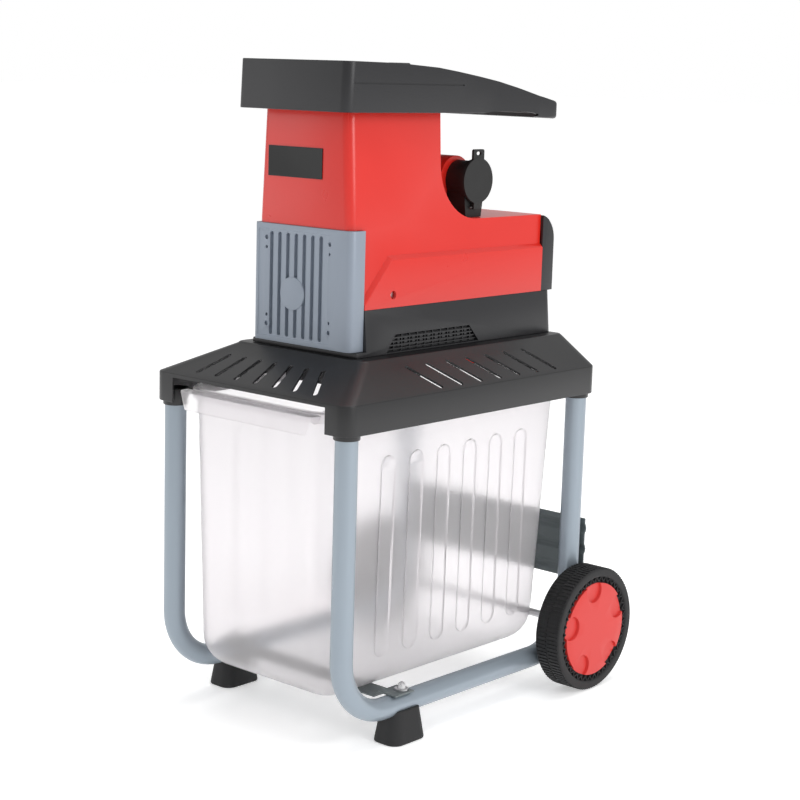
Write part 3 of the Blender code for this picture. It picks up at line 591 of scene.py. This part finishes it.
# %% Deck shell
def deck():
    """Shape the deck as an open shell with a slotted slope."""
    low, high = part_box("deck_cover")
    edge = 0.5045
    shell = cube("slotted_deck", low, (high[0], high[1], edge))
    round_edges(shell, lambda a, b: abs(a.z - b.z) > 0.01, 0.020, 6)
    edit(shell)
    pick_faces(lambda c, n: n.z > 0.9)
    bpy.ops.mesh.extrude_region_move(TRANSFORM_OT_translate={"value": (0, 0, high[2] - 0.0030 - edge)})
    slope_x = 0.1300 / high[0]
    middle_y = (low[1] + high[1]) / 2
    bpy.ops.transform.resize(value=(slope_x, 1.0, 1.0), center_override=(0, middle_y, edge))
    front = at(0, -0.185, 0).y
    length = high[1] - low[1]
    bpy.ops.transform.resize(value=(1.0, (high[1] - front) / length, 1.0),
                             center_override=(0, high[1], edge))
    bpy.ops.mesh.inset(thickness=0.0035)
    shift(z=0.0028)
    bpy.ops.mesh.select_all(action="DESELECT")
    pick_faces(lambda c, n: n.z < -0.9)
    bpy.ops.mesh.delete(type="FACE")
    done()
    wall = shell.modifiers.new("wall", "SOLIDIFY")
    wall.thickness = 0.0030
    wall.offset = -1.0
    wall.use_even_offset = True
    apply_all(shell)
    soften(shell, 0.0016, 3, 24)
    return shell


def slope_slot(name, top, foot_point, width, across):
    """A slot cutter laid from one point of a slope to another."""
    run = Vector(foot_point) - Vector(top)
    tool = stadium(name, run.length, width, 0.030)
    x_axis = run.normalized()
    z_axis = x_axis.cross(Vector(across)).normalized()
    y_axis = z_axis.cross(x_axis)
    turn = Matrix((x_axis, y_axis, z_axis)).transposed().to_4x4()
    tool.data.transform(Matrix.Translation((Vector(top) + Vector(foot_point)) / 2) @ turn)
    return tool


shell = deck()
for i in range(7):
    y = -0.1112 + i * 0.0440
    for sign in (-1, 1):
        carve(shell, slope_slot("slot", at(sign * 0.1430, y, 0.5365), at(sign * 0.1885, y + 0.031, 0.5085),
                                0.0080, (0, 1, 0)))
for i in range(7):
    top_x = -0.1035 + i * 0.0312
    foot_x = -0.1160 + i * 0.0395
    carve(shell, slope_slot("slot", at(top_x, -0.2150, 0.5345), at(foot_x, -0.2700, 0.5090),
                            0.0080, (1, 0, 0)))
carve(shell, cube("bin_doorway", at(-DOORWAY_HALF, -0.300, 0.440), at(DOORWAY_HALF, -0.240, 0.4990)))
carve(shell, cube("chute_hole", at(-0.085, -0.130, 0.530), at(0.085, 0.010, 0.560)))
carve(shell, cube("lock_hole", at(-0.0112, 0.1848, 0.530), at(0.0112, 0.2152, 0.560)))
smooth(shell, 30)
hand_over(shell, DECK_BLACK, "deck_cover")

# %% [markdown]
# The sockets under the deck are plain collars with a small lip, so they are turned from short cylinders.

# %% Leg sockets
for side in ("left", "right"):
    for end in ("front", "rear"):
        node = side + "_" + end + "_leg_socket"
        low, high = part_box(node)
        middle = (Vector(low) + Vector(high)) / 2
        collar = drum(node + "_collar", (high[0] - low[0]) / 2, high[2] - low[2], middle, "Z", 48)
        soften(collar, 0.0012, 3, 50)
        carve(collar, drum("bore", 0.01615, 0.08, middle, "Z", 48))
        smooth(collar, 40)
        hand_over(collar, DECK_BLACK, node)

# %% [markdown]
# ## Black belt of the body
# The lower housing is a box that narrows upwards. Each side has a shallow window with louvres. The window
# is carved out and thin slats fill it.


# %% Lower housing
def belt():
    """Shape the black belt with a louvred window on each side."""
    low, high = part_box("lower_housing")
    body = cube("black_belt", low, (high[0], high[1], high[2]))
    edit(body)
    pick_faces(lambda c, n: n.z > 0.9)
    bpy.ops.transform.resize(value=(0.0985 / high[0], 1.0, 1.0))
    done()
    round_edges(body, lambda a, b: abs(a.z - b.z) > 0.03 and a.y > 0.1, 0.016, 6)
    carve(body, cube("inside", at(-0.0965, -0.147, 0.500), at(0.0965, 0.278, 0.650)))
    carve(body, cube("plate_seat", at(-0.130, -0.200, 0.5547), at(0.130, PLATE_SEAT_Y, 0.700)))
    for sign in (-1, 1):
        window = cube("window", at(sign * 0.1050 - 0.0075, -0.108, 0.5500),
                      at(sign * 0.1050 + 0.0075, 0.098, 0.5745))
        edit(window)
        pick_faces(lambda c, n: n.z > 0.9)
        bpy.ops.transform.resize(value=(1.0, 0.80, 1.0))
        done()
        carve(body, window)
    soften(body, 0.0012, 2, 40)
    slats = []
    for sign in (-1, 1):
        for i in range(4):
            z = 0.5530 + i * 0.0052
            slat = cube("slat", at(sign * 0.0995 - 0.0022, -0.104 + i * 0.004, z),
                        at(sign * 0.0995 + 0.0022, 0.094 - i * 0.004, z + 0.0020))
            slats.append(slat)
        for i in range(11):
            y = -0.090 + i * 0.017
            slats.append(cube("slat", at(sign * 0.0990 - 0.0018, y, 0.5510),
                              at(sign * 0.0990 + 0.0018, y + 0.0018, 0.5738)))
    whole = join([body] + slats, "black_belt")
    smooth(whole, 30)
    return whole


hand_over(belt(), BLACK, "lower_housing")

# %% [markdown]
# ## Red housing
# The body starts as one box. A cut at the motor's height lets its lower back be extruded to the rear, and
# one wide bevel turns the inner corner into the sweep behind the neck. The top is drawn in, and a raised
# panel with a slanted front end is welded to each side.


# %% Red shell
def red_body():
    """Shape the red body from one box."""
    low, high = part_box("upper_housing")
    half = 0.0925
    body = cube("red_body", at(-half, BODY_FRONT_Y, low[2]), at(half, NECK_REAR_Y, high[2]))
    edit(body)
    bpy.ops.mesh.select_all(action="SELECT")
    bpy.ops.mesh.bisect(plane_co=at(0, 0, MOTOR_TOP_Z), plane_no=(0, 0, 1))
    bpy.ops.mesh.select_all(action="DESELECT")
    pick_faces(lambda c, n: n.y > 0.9 and c.z < MOTOR_TOP_Z)
    bpy.ops.mesh.extrude_region_move(TRANSFORM_OT_translate={"value": (0, 0.2850 - NECK_REAR_Y, 0)})
    bpy.ops.mesh.select_all(action="DESELECT")
    pick_faces(lambda c, n: n.z > 0.9 and c.z > 0.85)
    bpy.ops.transform.resize(value=(0.0845 / half, 1.0, 1.0))
    done()
    crease = at(0, NECK_REAR_Y, 0).y
    round_edges(body, lambda a, b: abs(a.y - crease) < 0.001 and abs(b.y - crease) < 0.001
                and abs(a.z - MOTOR_TOP_Z) < 0.001 and abs(b.z - MOTOR_TOP_Z) < 0.001, 0.080, 14)
    round_edges(body, lambda a, b: a.y > 0.2 and b.y > 0.2 and abs(a.z - MOTOR_TOP_Z) < 0.001
                and abs(b.z - MOTOR_TOP_Z) < 0.001, 0.030, 8)
    count = round_edges(body, lambda a, b: abs(a.x - b.x) < 0.01 and abs(a.y - b.y) < 0.004
                        and abs(a.z - b.z) > 0.05 and a.y < at(0, -0.15, 0).y, 0.014, 8)
    print("neck corners rounded:", count)
    return body


def side_panel(sign):
    """The raised panel low on one side, slanted at its front end."""
    low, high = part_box("upper_housing")
    panel = cube("side_panel", at(sign * 0.080 - 0.0185, -0.1496, low[2]),
                 at(sign * 0.080 + 0.0185, 0.2850, 0.6870))
    edit(panel)
    bpy.ops.mesh.select_all(action="SELECT")
    bpy.ops.mesh.bisect(plane_co=at(0, -0.150, 0.628), plane_no=(0, -0.0560, 0.0500), clear_outer=True,
                        use_fill=True)
    done()
    edit(panel, "EDGE")
    pick_edges(lambda a, b: abs(a.x) > 0.09 and abs(b.x) > 0.09 and min(a.z, b.z) > low[2] + 0.004
               and not (a.y > 0.2 and b.y > 0.2))
    bpy.ops.mesh.bevel(offset=0.0058, segments=1, affect="EDGES", clamp_overlap=True)
    done()
    return panel


body = red_body()
for sign in (-1, 1):
    carve(body, side_panel(sign), "UNION")
soften(body, 0.0022, 3, 28)
carve(body, cube("inside", at(-0.0885, -0.1726, 0.600), at(0.0885, 0.270, 0.690)))
carve(body, cube("neck_inside", at(-0.0800, -0.1720, 0.680), at(0.0800, -0.0040, 0.900)))
carve(body, cube("motor_inside", at(-0.0880, -0.0100, 0.680), at(0.0880, 0.2400, 0.7290)))
carve(body, cube("plate_window", at(-0.120, -0.200, 0.600), at(0.120, PLATE_SEAT_Y, 0.7253)))
carve(body, drum("screw_access", 0.0060, 0.060, at(0.1000, -0.0900, 0.631), "X", 24))
carve(body, cube("end_cover_seat", at(-0.120, 0.2552, 0.600), at(0.120, 0.300, 0.7800)))
smooth(body, 30)
hand_over(body, RED, "upper_housing")

# %% [markdown]
# ## Cutter end plate
# A die-cast plate with a rounded outline. The middle is sunk and has seven grooves, a round boss marks the
# roller's bearing, and each corner has a screw hole with a smaller hole beside it.


# %% End plate
def end_plate():
    """Shape the grooved plate."""
    low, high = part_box("cutter_end_plate")
    front = low[1]
    plate = cube("grooved_plate", (low[0], front + 0.0030, low[2]), high)
    round_edges(plate, lambda a, b: abs(a.z - b.z) > 0.1 and a.y < front + 0.01, 0.010, 6)
    carve(plate, cube("pocket", at(-0.0940, -0.1700, 0.540), at(0.0940, -0.140, 0.740)))
    carve(plate, cube("sunk_field", at(-0.0870, -0.1850, 0.5620),
                      at(0.0560, front - MID_Y + 0.0042, 0.7170)))
    soften(plate, 0.0012, 3, 35)
    for i in range(7):
        x = -0.0611 + i * 0.01645
        tool = stadium("groove", 0.150, 0.0072, 0.0060)
        tool.data.transform(Matrix.Translation(at(x, -0.1745, 0.6390))
                            @ Matrix.Rotation(math.pi / 2, 4, "X") @ Matrix.Rotation(math.pi / 2, 4, "Z"))
        carve(plate, tool)
    for x, z, step in ((-0.0715, 0.7044, -0.0140), (0.0550, 0.7039, -0.0140), (-0.0700, 0.5794, 0.0130),
                       (0.0555, 0.5791, 0.0135)):
        boss = drum("screw_boss", 0.0062, 0.0060, at(x, -0.1742, z), "Y", 32)
        soften(boss, 0.0008, 2, 50)
        carve(plate, boss, "UNION")
        carve(plate, drum("screw_hole", 0.0034, 0.0120, at(x, -0.1800, z), "Y", 24))
        carve(plate, drum("small_hole", 0.0024, 0.0120, at(x, -0.1780, z + step), "Y", 20))
    boss = drum("bearing_boss", 0.0240, 0.0080, at(-0.0180, -0.1740, 0.6275), "Y", 64)
    soften(boss, 0.0010, 3, 50)
    carve(plate, boss, "UNION")
    smooth(plate, 30)
    return plate


hand_over(end_plate(), GREY, "cutter_end_plate")

# %% [markdown]
# The plate on the neck is plain and dark, with a thin raised border and no lettering.


# %% Blank label
def blank_label():
    """A plain plate with a raised border."""
    low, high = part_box("label_plate")
    plate = cube("blank_label", low, high)
    edit(plate)
    pick_faces(lambda c, n: n.y < -0.9)
    bpy.ops.mesh.inset(thickness=0.0016)
    shift(y=0.0003)
    done()
    soften(plate, 0.0002, 2, 40)
    smooth(plate, 30)
    return plate


hand_over(blank_label(), SOFT_BLACK, "label_plate")

# %% [markdown]
# ## Hopper
# The hopper is a box whose top slopes down into a tail. Straight cuts across it give the slope its
# stations, and each station's top points are moved to their own height.


# %% Hopper top
def hopper():
    """Shape the hopper with its sloping crown and tail."""
    low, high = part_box("hopper_top")
    body = cube("black_hopper", (low[0], low[1], HOPPER_UNDER_Z), (high[0], at(0, 0.2708, 0).y, high[2]))
    stations = ((-0.1000, 0.9560), (-0.0160, 0.9515), (0.0290, 0.9465), (0.0750, 0.9406), (0.1210, 0.9340),
                (0.1700, 0.9248), (0.2200, 0.9140))
    edit(body)
    for y, height in stations:
        bpy.ops.mesh.select_all(action="SELECT")
        bpy.ops.mesh.bisect(plane_co=at(0, y, 0), plane_no=(0, 1, 0))
    for y, height in stations + ((0.2708, 0.9055),):
        bpy.ops.mesh.select_all(action="DESELECT")
        pick_points(lambda p: abs(p.y - at(0, y, 0).y) < 0.0005 and p.z > 0.93)
        shift(z=height - high[2])
    bpy.ops.mesh.select_all(action="DESELECT")
    pick_points(lambda p: p.y > at(0, 0.25, 0).y and p.z < 0.9)
    shift(z=-0.0085)
    bpy.ops.mesh.select_all(action="DESELECT")
    pick_points(lambda p: abs(p.y - at(0, 0.2200, 0).y) < 0.0005 and p.z < 0.9)
    shift(z=-0.0060)
    bpy.ops.mesh.select_all(action="DESELECT")
    pick_points(lambda p: p.y < low[1] + 0.001 and p.z > 0.95)
    shift(y=0.0035, z=-0.0010)
    done()
    round_edges(body, lambda a, b: abs(a.z - b.z) > 0.03 and a.y < low[1] + 0.02, 0.014, 8)
    round_edges(body, lambda a, b: abs(a.z - b.z) > 0.01 and a.y > at(0, 0.25, 0).y, 0.012, 6)
    round_edges(body, lambda a, b: a.y > at(0, 0.25, 0).y - 0.015 and b.y > at(0, 0.25, 0).y - 0.015
                and abs(a.z - b.z) < 0.004, 0.0050, 4)
    soften(body, 0.0025, 3, 25)
    return body


lid = hopper()
carve(lid, cube("throat", at(-0.0735, -0.1605, 0.860), at(0.0735, -0.0115, 0.990)))
funnel = cube("funnel", at(-0.0735, -0.1605, 0.9200), at(0.0735, -0.0115, 0.9600))
edit(funnel)
pick_faces(lambda c, n: n.z > 0.9)
bpy.ops.transform.resize(value=(1.22, 1.16, 1.0))
done()
carve(lid, funnel)
arch = drum("finger_arch", 0.0680, 0.3000, (0, 0, 0), "X", 64)
arch.scale = (1.0, 1.0, 0.080)
arch.location = at(0, 0.1500, 0.8853)
carve(lid, settle(arch, "finger_arch"))
recess = cube("grip_recess", at(-0.1030, 0.0850, 0.860), at(0.1030, 0.2250, 0.9010))
round_edges(recess, lambda a, b: abs(a.z - b.z) < 0.001 and a.z > 0.89 and abs(a.y - b.y) < 0.001, 0.010, 5)
carve(lid, recess)
carve(lid, cube("parting", at(-0.2, -0.2160, PARTING_LOW_Z), at(0.2, -0.2048, PARTING_HIGH_Z)))
for sign in (-1, 1):
    side_x = sign * 0.1084
    carve(lid, cube("parting", at(side_x - 0.0012, -0.1920, PARTING_LOW_Z),
                    at(side_x + 0.0012, 0.0400, PARTING_HIGH_Z)))
smooth(lid, 30)
hand_over(lid, BLACK, "hopper_top")

# %% [markdown]
# Ripples under the tail give the fingers a hold. A small block stands on the crown, and a bracket closes the
# corner between the hopper and the back of the neck.


# %% Finger ripples, bracket and crown block
ripples = []
for i in range(7):
    y = 0.102 + i * 0.0170
    bar = drum("ripple", 0.0072, 0.204, at(0, y, 0.8975 - 0.00007 * i * i), "X", 20)
    soften(bar, 0.0010, 2, 50)
    ripples.append(bar)
ripple = join(ripples, "finger_ripples")
smooth(ripple, 40)
add_piece(ripple, SOFT_BLACK, "stand")

bracket = cube("hopper_bracket", at(-0.050, 0.0165, 0.8660), at(0.066, 0.0400, 0.8885))
edit(bracket)
pick_faces(lambda c, n: n.z < -0.9)
bpy.ops.transform.resize(value=(0.94, 0.62, 1.0), center_override=at(0, 0.0165, 0.869))
done()
soften(bracket, 0.0020, 3, 30)
smooth(bracket, 30)
add_piece(bracket, SOFT_BLACK, "stand")

stop = cube("crown_stop", at(-0.0150, 0.0020, 0.9440), at(0.0150, 0.0340, 0.9570))
edit(stop)
pick_faces(lambda c, n: n.z > 0.9)
bpy.ops.transform.resize(value=(0.86, 0.70, 1.0))
done()
soften(stop, 0.0018, 3, 30)
smooth(stop, 30)
add_piece(stop, SOFT_BLACK, "stand")

# %% [markdown]
# ## Bin
# The bin is blown thin: tapered walls, round corners, upright ribs with arched heads. A box is tapered and
# rounded, slim ribs are welded on, the top is opened and a wall added inside.


# %% Bin shell
def bin_shell():
    """Shape the ribbed, tapered tub."""
    low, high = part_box("collection_bin")
    floor_z = low[2]
    tub = cube("milky_bin", at(-BIN_HALF_LOW, -0.2540, floor_z), at(BIN_HALF_LOW, 0.2340, BIN_TOP_Z))
    edit(tub)
    pick_faces(lambda c, n: n.z > 0.9)
    bpy.ops.transform.resize(value=(BIN_HALF_TOP / BIN_HALF_LOW, 1.0, 1.0))
    done()
    edit(tub, "VERT")
    pick_points(lambda p: p.z > 0.4 and p.y < 0)
    shift(y=-0.0120)
    bpy.ops.mesh.select_all(action="DESELECT")
    pick_points(lambda p: p.z > 0.4 and p.y > 0)
    shift(y=0.0300)
    done()
    round_edges(tub, lambda a, b: abs(a.z - b.z) > 0.1 or max(a.z, b.z) < floor_z + 0.001, 0.050, 10)
    lean = math.atan2(BIN_HALF_TOP - BIN_HALF_LOW, BIN_TOP_Z - floor_z)
    for sign in (-1, 1):
        for i in range(6):
            y = -0.146 + i * 0.060
            rib_top = 0.4140
            rib_low = 0.1180
            rib = stadium("rib", rib_top - rib_low, 0.030, 0.0080)
            soften(rib, 0.0022, 2, 50)
            z = (rib_top + rib_low) / 2
            x = BIN_HALF_LOW + (z - floor_z) * math.tan(lean)
            rib.data.transform(Matrix.Translation(at(sign * (x - 0.0012), y, z))
                               @ Matrix.Rotation(sign * lean, 4, "Y") @ Matrix.Rotation(math.pi / 2, 4, "Y"))
            carve(tub, rib, "UNION")
    edit(tub)
    pick_faces(lambda c, n: n.z > 0.9 and c.z > BIN_TOP_Z - 0.002)
    bpy.ops.mesh.delete(type="FACE")
    done()
    wall = tub.modifiers.new("wall", "SOLIDIFY")
    wall.thickness = 0.0018
    wall.offset = -1.0
    apply_all(tub)
    return tub


def rim_ring():
    """Shape the rolled rim around the bin's mouth, with a deep front handle."""
    ring = cube("bin_rim", at(-0.1519, -0.2699, 0.4700), at(0.1519, 0.2679, 0.4860))
    round_edges(ring, lambda a, b: abs(a.z - b.z) > 0.01, 0.046, 10)
    soften(ring, 0.0030, 3, 50)
    inner = cube("mouth", at(-0.1462, -0.2642, 0.4500), at(0.1462, 0.2622, 0.5000))
    round_edges(inner, lambda a, b: abs(a.z - b.z) > 0.01, 0.046, 10)
    carve(ring, inner)
    under = cube("under", at(-0.1501, -0.2681, 0.4600), at(0.1501, 0.2661, 0.4832))
    round_edges(under, lambda a, b: abs(a.z - b.z) > 0.01, 0.044, 10)
    carve(ring, under)
    handle = cube("handle", at(-0.1350, -0.2898, 0.4560), at(0.1350, -0.2688, BIN_TOP_Z))
    edit(handle)
    pick_faces(lambda c, n: n.z < -0.9)
    bpy.ops.transform.resize(value=(0.93, 1.0, 1.0))
    done()
    round_edges(handle, lambda a, b: abs(a.z - b.z) > 0.01 and a.y < at(0, -0.28, 0).y, 0.010, 5)
    soften(handle, 0.0022, 3, 40)
    carve(handle, cube("handle_inside", at(-0.1310, -0.2870, 0.4500), at(0.1310, -0.2600, 0.4815)))
    carve(ring, handle, "UNION")
    smooth(ring, 35)
    return ring


tub = bin_shell()
smooth(tub, 35)
hand_over(tub, MILK, "collection_bin")
rim = rim_ring()
add_piece(rim, MILK, "bin")

# %% [markdown]
# ## Plug inlet and its cap
# The inlet is a round black cup that faces the side. Its flap is a shallow disc with a holed tab above and a
# hinge ear below.


# %% Cap and cup
def cap():
    """Shape the flap with its tab and hinge ear."""
    low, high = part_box("inlet_cap")
    pin_low, pin_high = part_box("inlet_hinge_pin")
    centre = at(0.0800, INLET_Y, INLET_Z)
    disc = drum("round_cap", 0.0338, 0.0046, centre + Vector((-0.0003, 0, 0)), "X", 72)
    edit(disc)
    pick_faces(lambda c, n: n.x > 0.9)
    bpy.ops.mesh.inset(thickness=0.0060)
    shift(x=-0.0006)
    bpy.ops.mesh.inset(thickness=0.0200)
    shift(x=0.0007)
    done()
    tab = cube("tab", centre + Vector((-0.0024, -0.0125, 0.0290)), centre + Vector((0.0014, 0.0125, 0.0465)))
    round_edges(tab, lambda a, b: abs(a.x - b.x) > 0.003 and a.z > 0.82, 0.0030, 4)
    hole = stadium("hole", 0.0110, 0.0052, 0.02)
    hole.data.transform(Matrix.Translation(centre + Vector((0, 0, 0.0405)))
                        @ Matrix.Rotation(math.pi / 2, 4, "Y") @ Matrix.Rotation(math.pi / 2, 4, "Z"))
    carve(tab, hole)
    carve(disc, tab, "UNION")
    carve(disc, cube("ear", (low[0] + 0.0004, centre.y - 0.0078, low[2] + 0.0004),
                     (centre.x + 0.0012, centre.y + 0.0078, 0.7570)), "UNION")
    carve(disc, drum("pin_hole", 0.0014, 0.05, ((pin_low[0] + pin_high[0]) / 2, centre.y,
                                                (pin_low[2] + pin_high[2]) / 2), "Y", 20))
    soften(disc, 0.0009, 3, 35)
    smooth(disc, 35)
    return disc


hand_over(cap(), SOFT_BLACK, "inlet_cap")


def inlet_cup():
    """Shape the cup with a thicker mouth and a foot on the red housing."""
    cup = drum("inlet_cup", 0.0288, 0.0700, at(0.0410, INLET_Y, INLET_Z), "X", 64)
    round_edges(cup, lambda a, b: max(a.x, b.x) < 0.01, 0.0060, 4)
    carve(cup, drum("lip", 0.0316, 0.0050, at(0.0735, INLET_Y, INLET_Z), "X", 64), "UNION")
    foot_block = cube("foot", at(0.0080, 0.0880, 0.7323), at(0.0740, 0.1360, 0.7780))
    edit(foot_block)
    pick_faces(lambda c, n: n.z < -0.9)
    bpy.ops.transform.resize(value=(1.0, 0.74, 1.0))
    done()
    carve(cup, foot_block, "UNION")
    carve(cup, drum("socket", 0.0250, 0.0500, at(0.0560, INLET_Y, INLET_Z), "X", 64))
    soften(cup, 0.0008, 2, 40)
    smooth(cup, 35)
    return cup


hand_over(inlet_cup(), SOFT_BLACK, "plug_inlet")
collar = drum("inlet_collar", 0.0345, 0.0420, at(0.0210, 0.1060, 0.7880), "X", 64)
carve(collar, drum("cup_room", 0.0290, 0.0600, at(0.0350, INLET_Y, INLET_Z), "X", 64))
carve(collar, cube("foot_room", at(0.0075, 0.0870, 0.7300), at(0.0750, 0.1370, 0.7790)))
soften(collar, 0.0020, 3, 40)
smooth(collar, 35)
add_piece(collar, RED, "stand")

# %% [markdown]
# ## Rear end cover
# The motor's end is closed by a black cover with a rounded shoulder at the top.


# %% End cover
def end_cover():
    """Shape the cover with its rounded shoulder and the holes of the switches."""
    low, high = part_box("rear_end_cover")
    cover = cube("black_end_cover", (low[0], at(0, 0.2300, 0).y, low[2]), (high[0], high[1], 0.7320))
    round_edges(cover, lambda a, b: a.y > at(0, 0.27, 0).y and b.y > at(0, 0.27, 0).y
                and abs(a.z - b.z) < 0.001 and a.z > 0.69, 0.0390, 10)
    carve(cover, cube("front_cut", at(-0.120, 0.2000, 0.600), at(0.120, COVER_FRONT_Y, 0.760)))
    round_edges(cover, lambda a, b: abs(a.x - b.x) < 0.001 and min(a.z, b.z) < 0.72
                and min(a.y, b.y) > at(0, 0.2600, 0).y, 0.008, 5)
    carve(cover, cube("inside", at(-0.0940, 0.2500, 0.600), at(0.0940, 0.2765, 0.7055)))
    for x, z, radius in ((-0.030, 0.680, 0.0095), (0.0, 0.680, 0.0095), (0.045, 0.670, 0.0065),
                         (-0.060, 0.680, 0.0060)):
        carve(cover, drum("hole", radius, 0.03, at(x, 0.2850, z), "Y", 40))
    soften(cover, 0.0010, 2, 40)
    smooth(cover, 30)
    return cover


hand_over(end_cover(), BLACK, "rear_end_cover")

# %% [markdown]
# ## Room, light and camera
# A wide white floor that glows a little, one broad key light, a fill and a top light keep the shadows soft.


# %% Studio
bpy.ops.mesh.primitive_plane_add(size=120.0, location=(0, 0, -0.0004))
floor = bpy.context.object
floor.name = "studio_floor"
paper = bpy.data.materials.new("studio_paper")
paper.use_nodes = True
paper.node_tree.nodes["Principled BSDF"].inputs["Base Color"].default_value = (1.0, 1.0, 1.0, 1.0)
paper.node_tree.nodes["Principled BSDF"].inputs["Roughness"].default_value = 0.6
paper.node_tree.nodes["Principled BSDF"].inputs["Emission Color"].default_value = (1.0, 1.0, 1.0, 1.0)
paper.node_tree.nodes["Principled BSDF"].inputs["Emission Strength"].default_value = 0.40
floor.data.materials.append(paper)


def soft_light(name, place, target, size, power):
    """An area light that looks at a point."""
    lamp = bpy.data.lights.new(name, "AREA")
    lamp.shape = "RECTANGLE"
    lamp.size = size[0]
    lamp.size_y = size[1]
    lamp.energy = power
    holder = bpy.data.objects.new(name, lamp)
    holder.location = place
    holder.rotation_euler = (Vector(target) - Vector(place)).to_track_quat("-Z", "Y").to_euler()
    bpy.context.scene.collection.objects.link(holder)
    return holder


soft_light("key", (3.4, 0.2, 2.0), (0, 0, 0.5), (1.6, 2.2), 46)
soft_light("fill", (-2.6, -2.2, 1.4), (0, 0, 0.5), (1.2, 2.0), 8)
soft_light("top", (0, 0.4, 3.4), (0, 0, 0.5), (2.6, 2.6), 40)
sky = bpy.data.worlds.new("studio_white")
bpy.context.scene.world = sky
sky.use_nodes = True
sky.node_tree.nodes["Background"].inputs["Color"].default_value = (1.0, 1.0, 1.0, 1.0)
seen = sky.node_tree.nodes.new("ShaderNodeLightPath")
strength = sky.node_tree.nodes.new("ShaderNodeMapRange")
strength.inputs["To Min"].default_value = 0.62
strength.inputs["To Max"].default_value = 1.0
sky.node_tree.links.new(seen.outputs["Is Camera Ray"], strength.inputs["Value"])
sky.node_tree.links.new(strength.outputs["Result"], sky.node_tree.nodes["Background"].inputs["Strength"])
bpy.context.scene.view_settings.view_transform = "Standard"

# %% Camera
YAW = math.radians(41.4838)
PITCH = math.radians(10.2249)
ROLL = math.radians(1.6744)
ahead = Vector((-math.sin(YAW), math.cos(YAW), 0)) * math.cos(PITCH) - Vector((0, 0, math.sin(PITCH)))
side_0 = Vector((math.cos(YAW), math.sin(YAW), 0))
up_0 = Vector((0, 0, math.cos(PITCH))) + Vector((-math.sin(YAW), math.cos(YAW), 0)) * math.sin(PITCH)
right = side_0 * math.cos(ROLL) + up_0 * math.sin(ROLL)
up = up_0 * math.cos(ROLL) - side_0 * math.sin(ROLL)
lens = bpy.data.cameras.new("camera")
lens.lens = 82.67
lens.sensor_width = 36.0
camera = bpy.data.objects.new("camera", lens)
turn = Matrix((right, up, -ahead)).transposed().to_4x4()
camera.matrix_world = Matrix.Translation(at(1.8308, -2.0285, 0.9486)) @ turn
bpy.context.scene.collection.objects.link(camera)
bpy.context.scene.camera = camera
print("camera at", [round(v, 3) for v in camera.location])
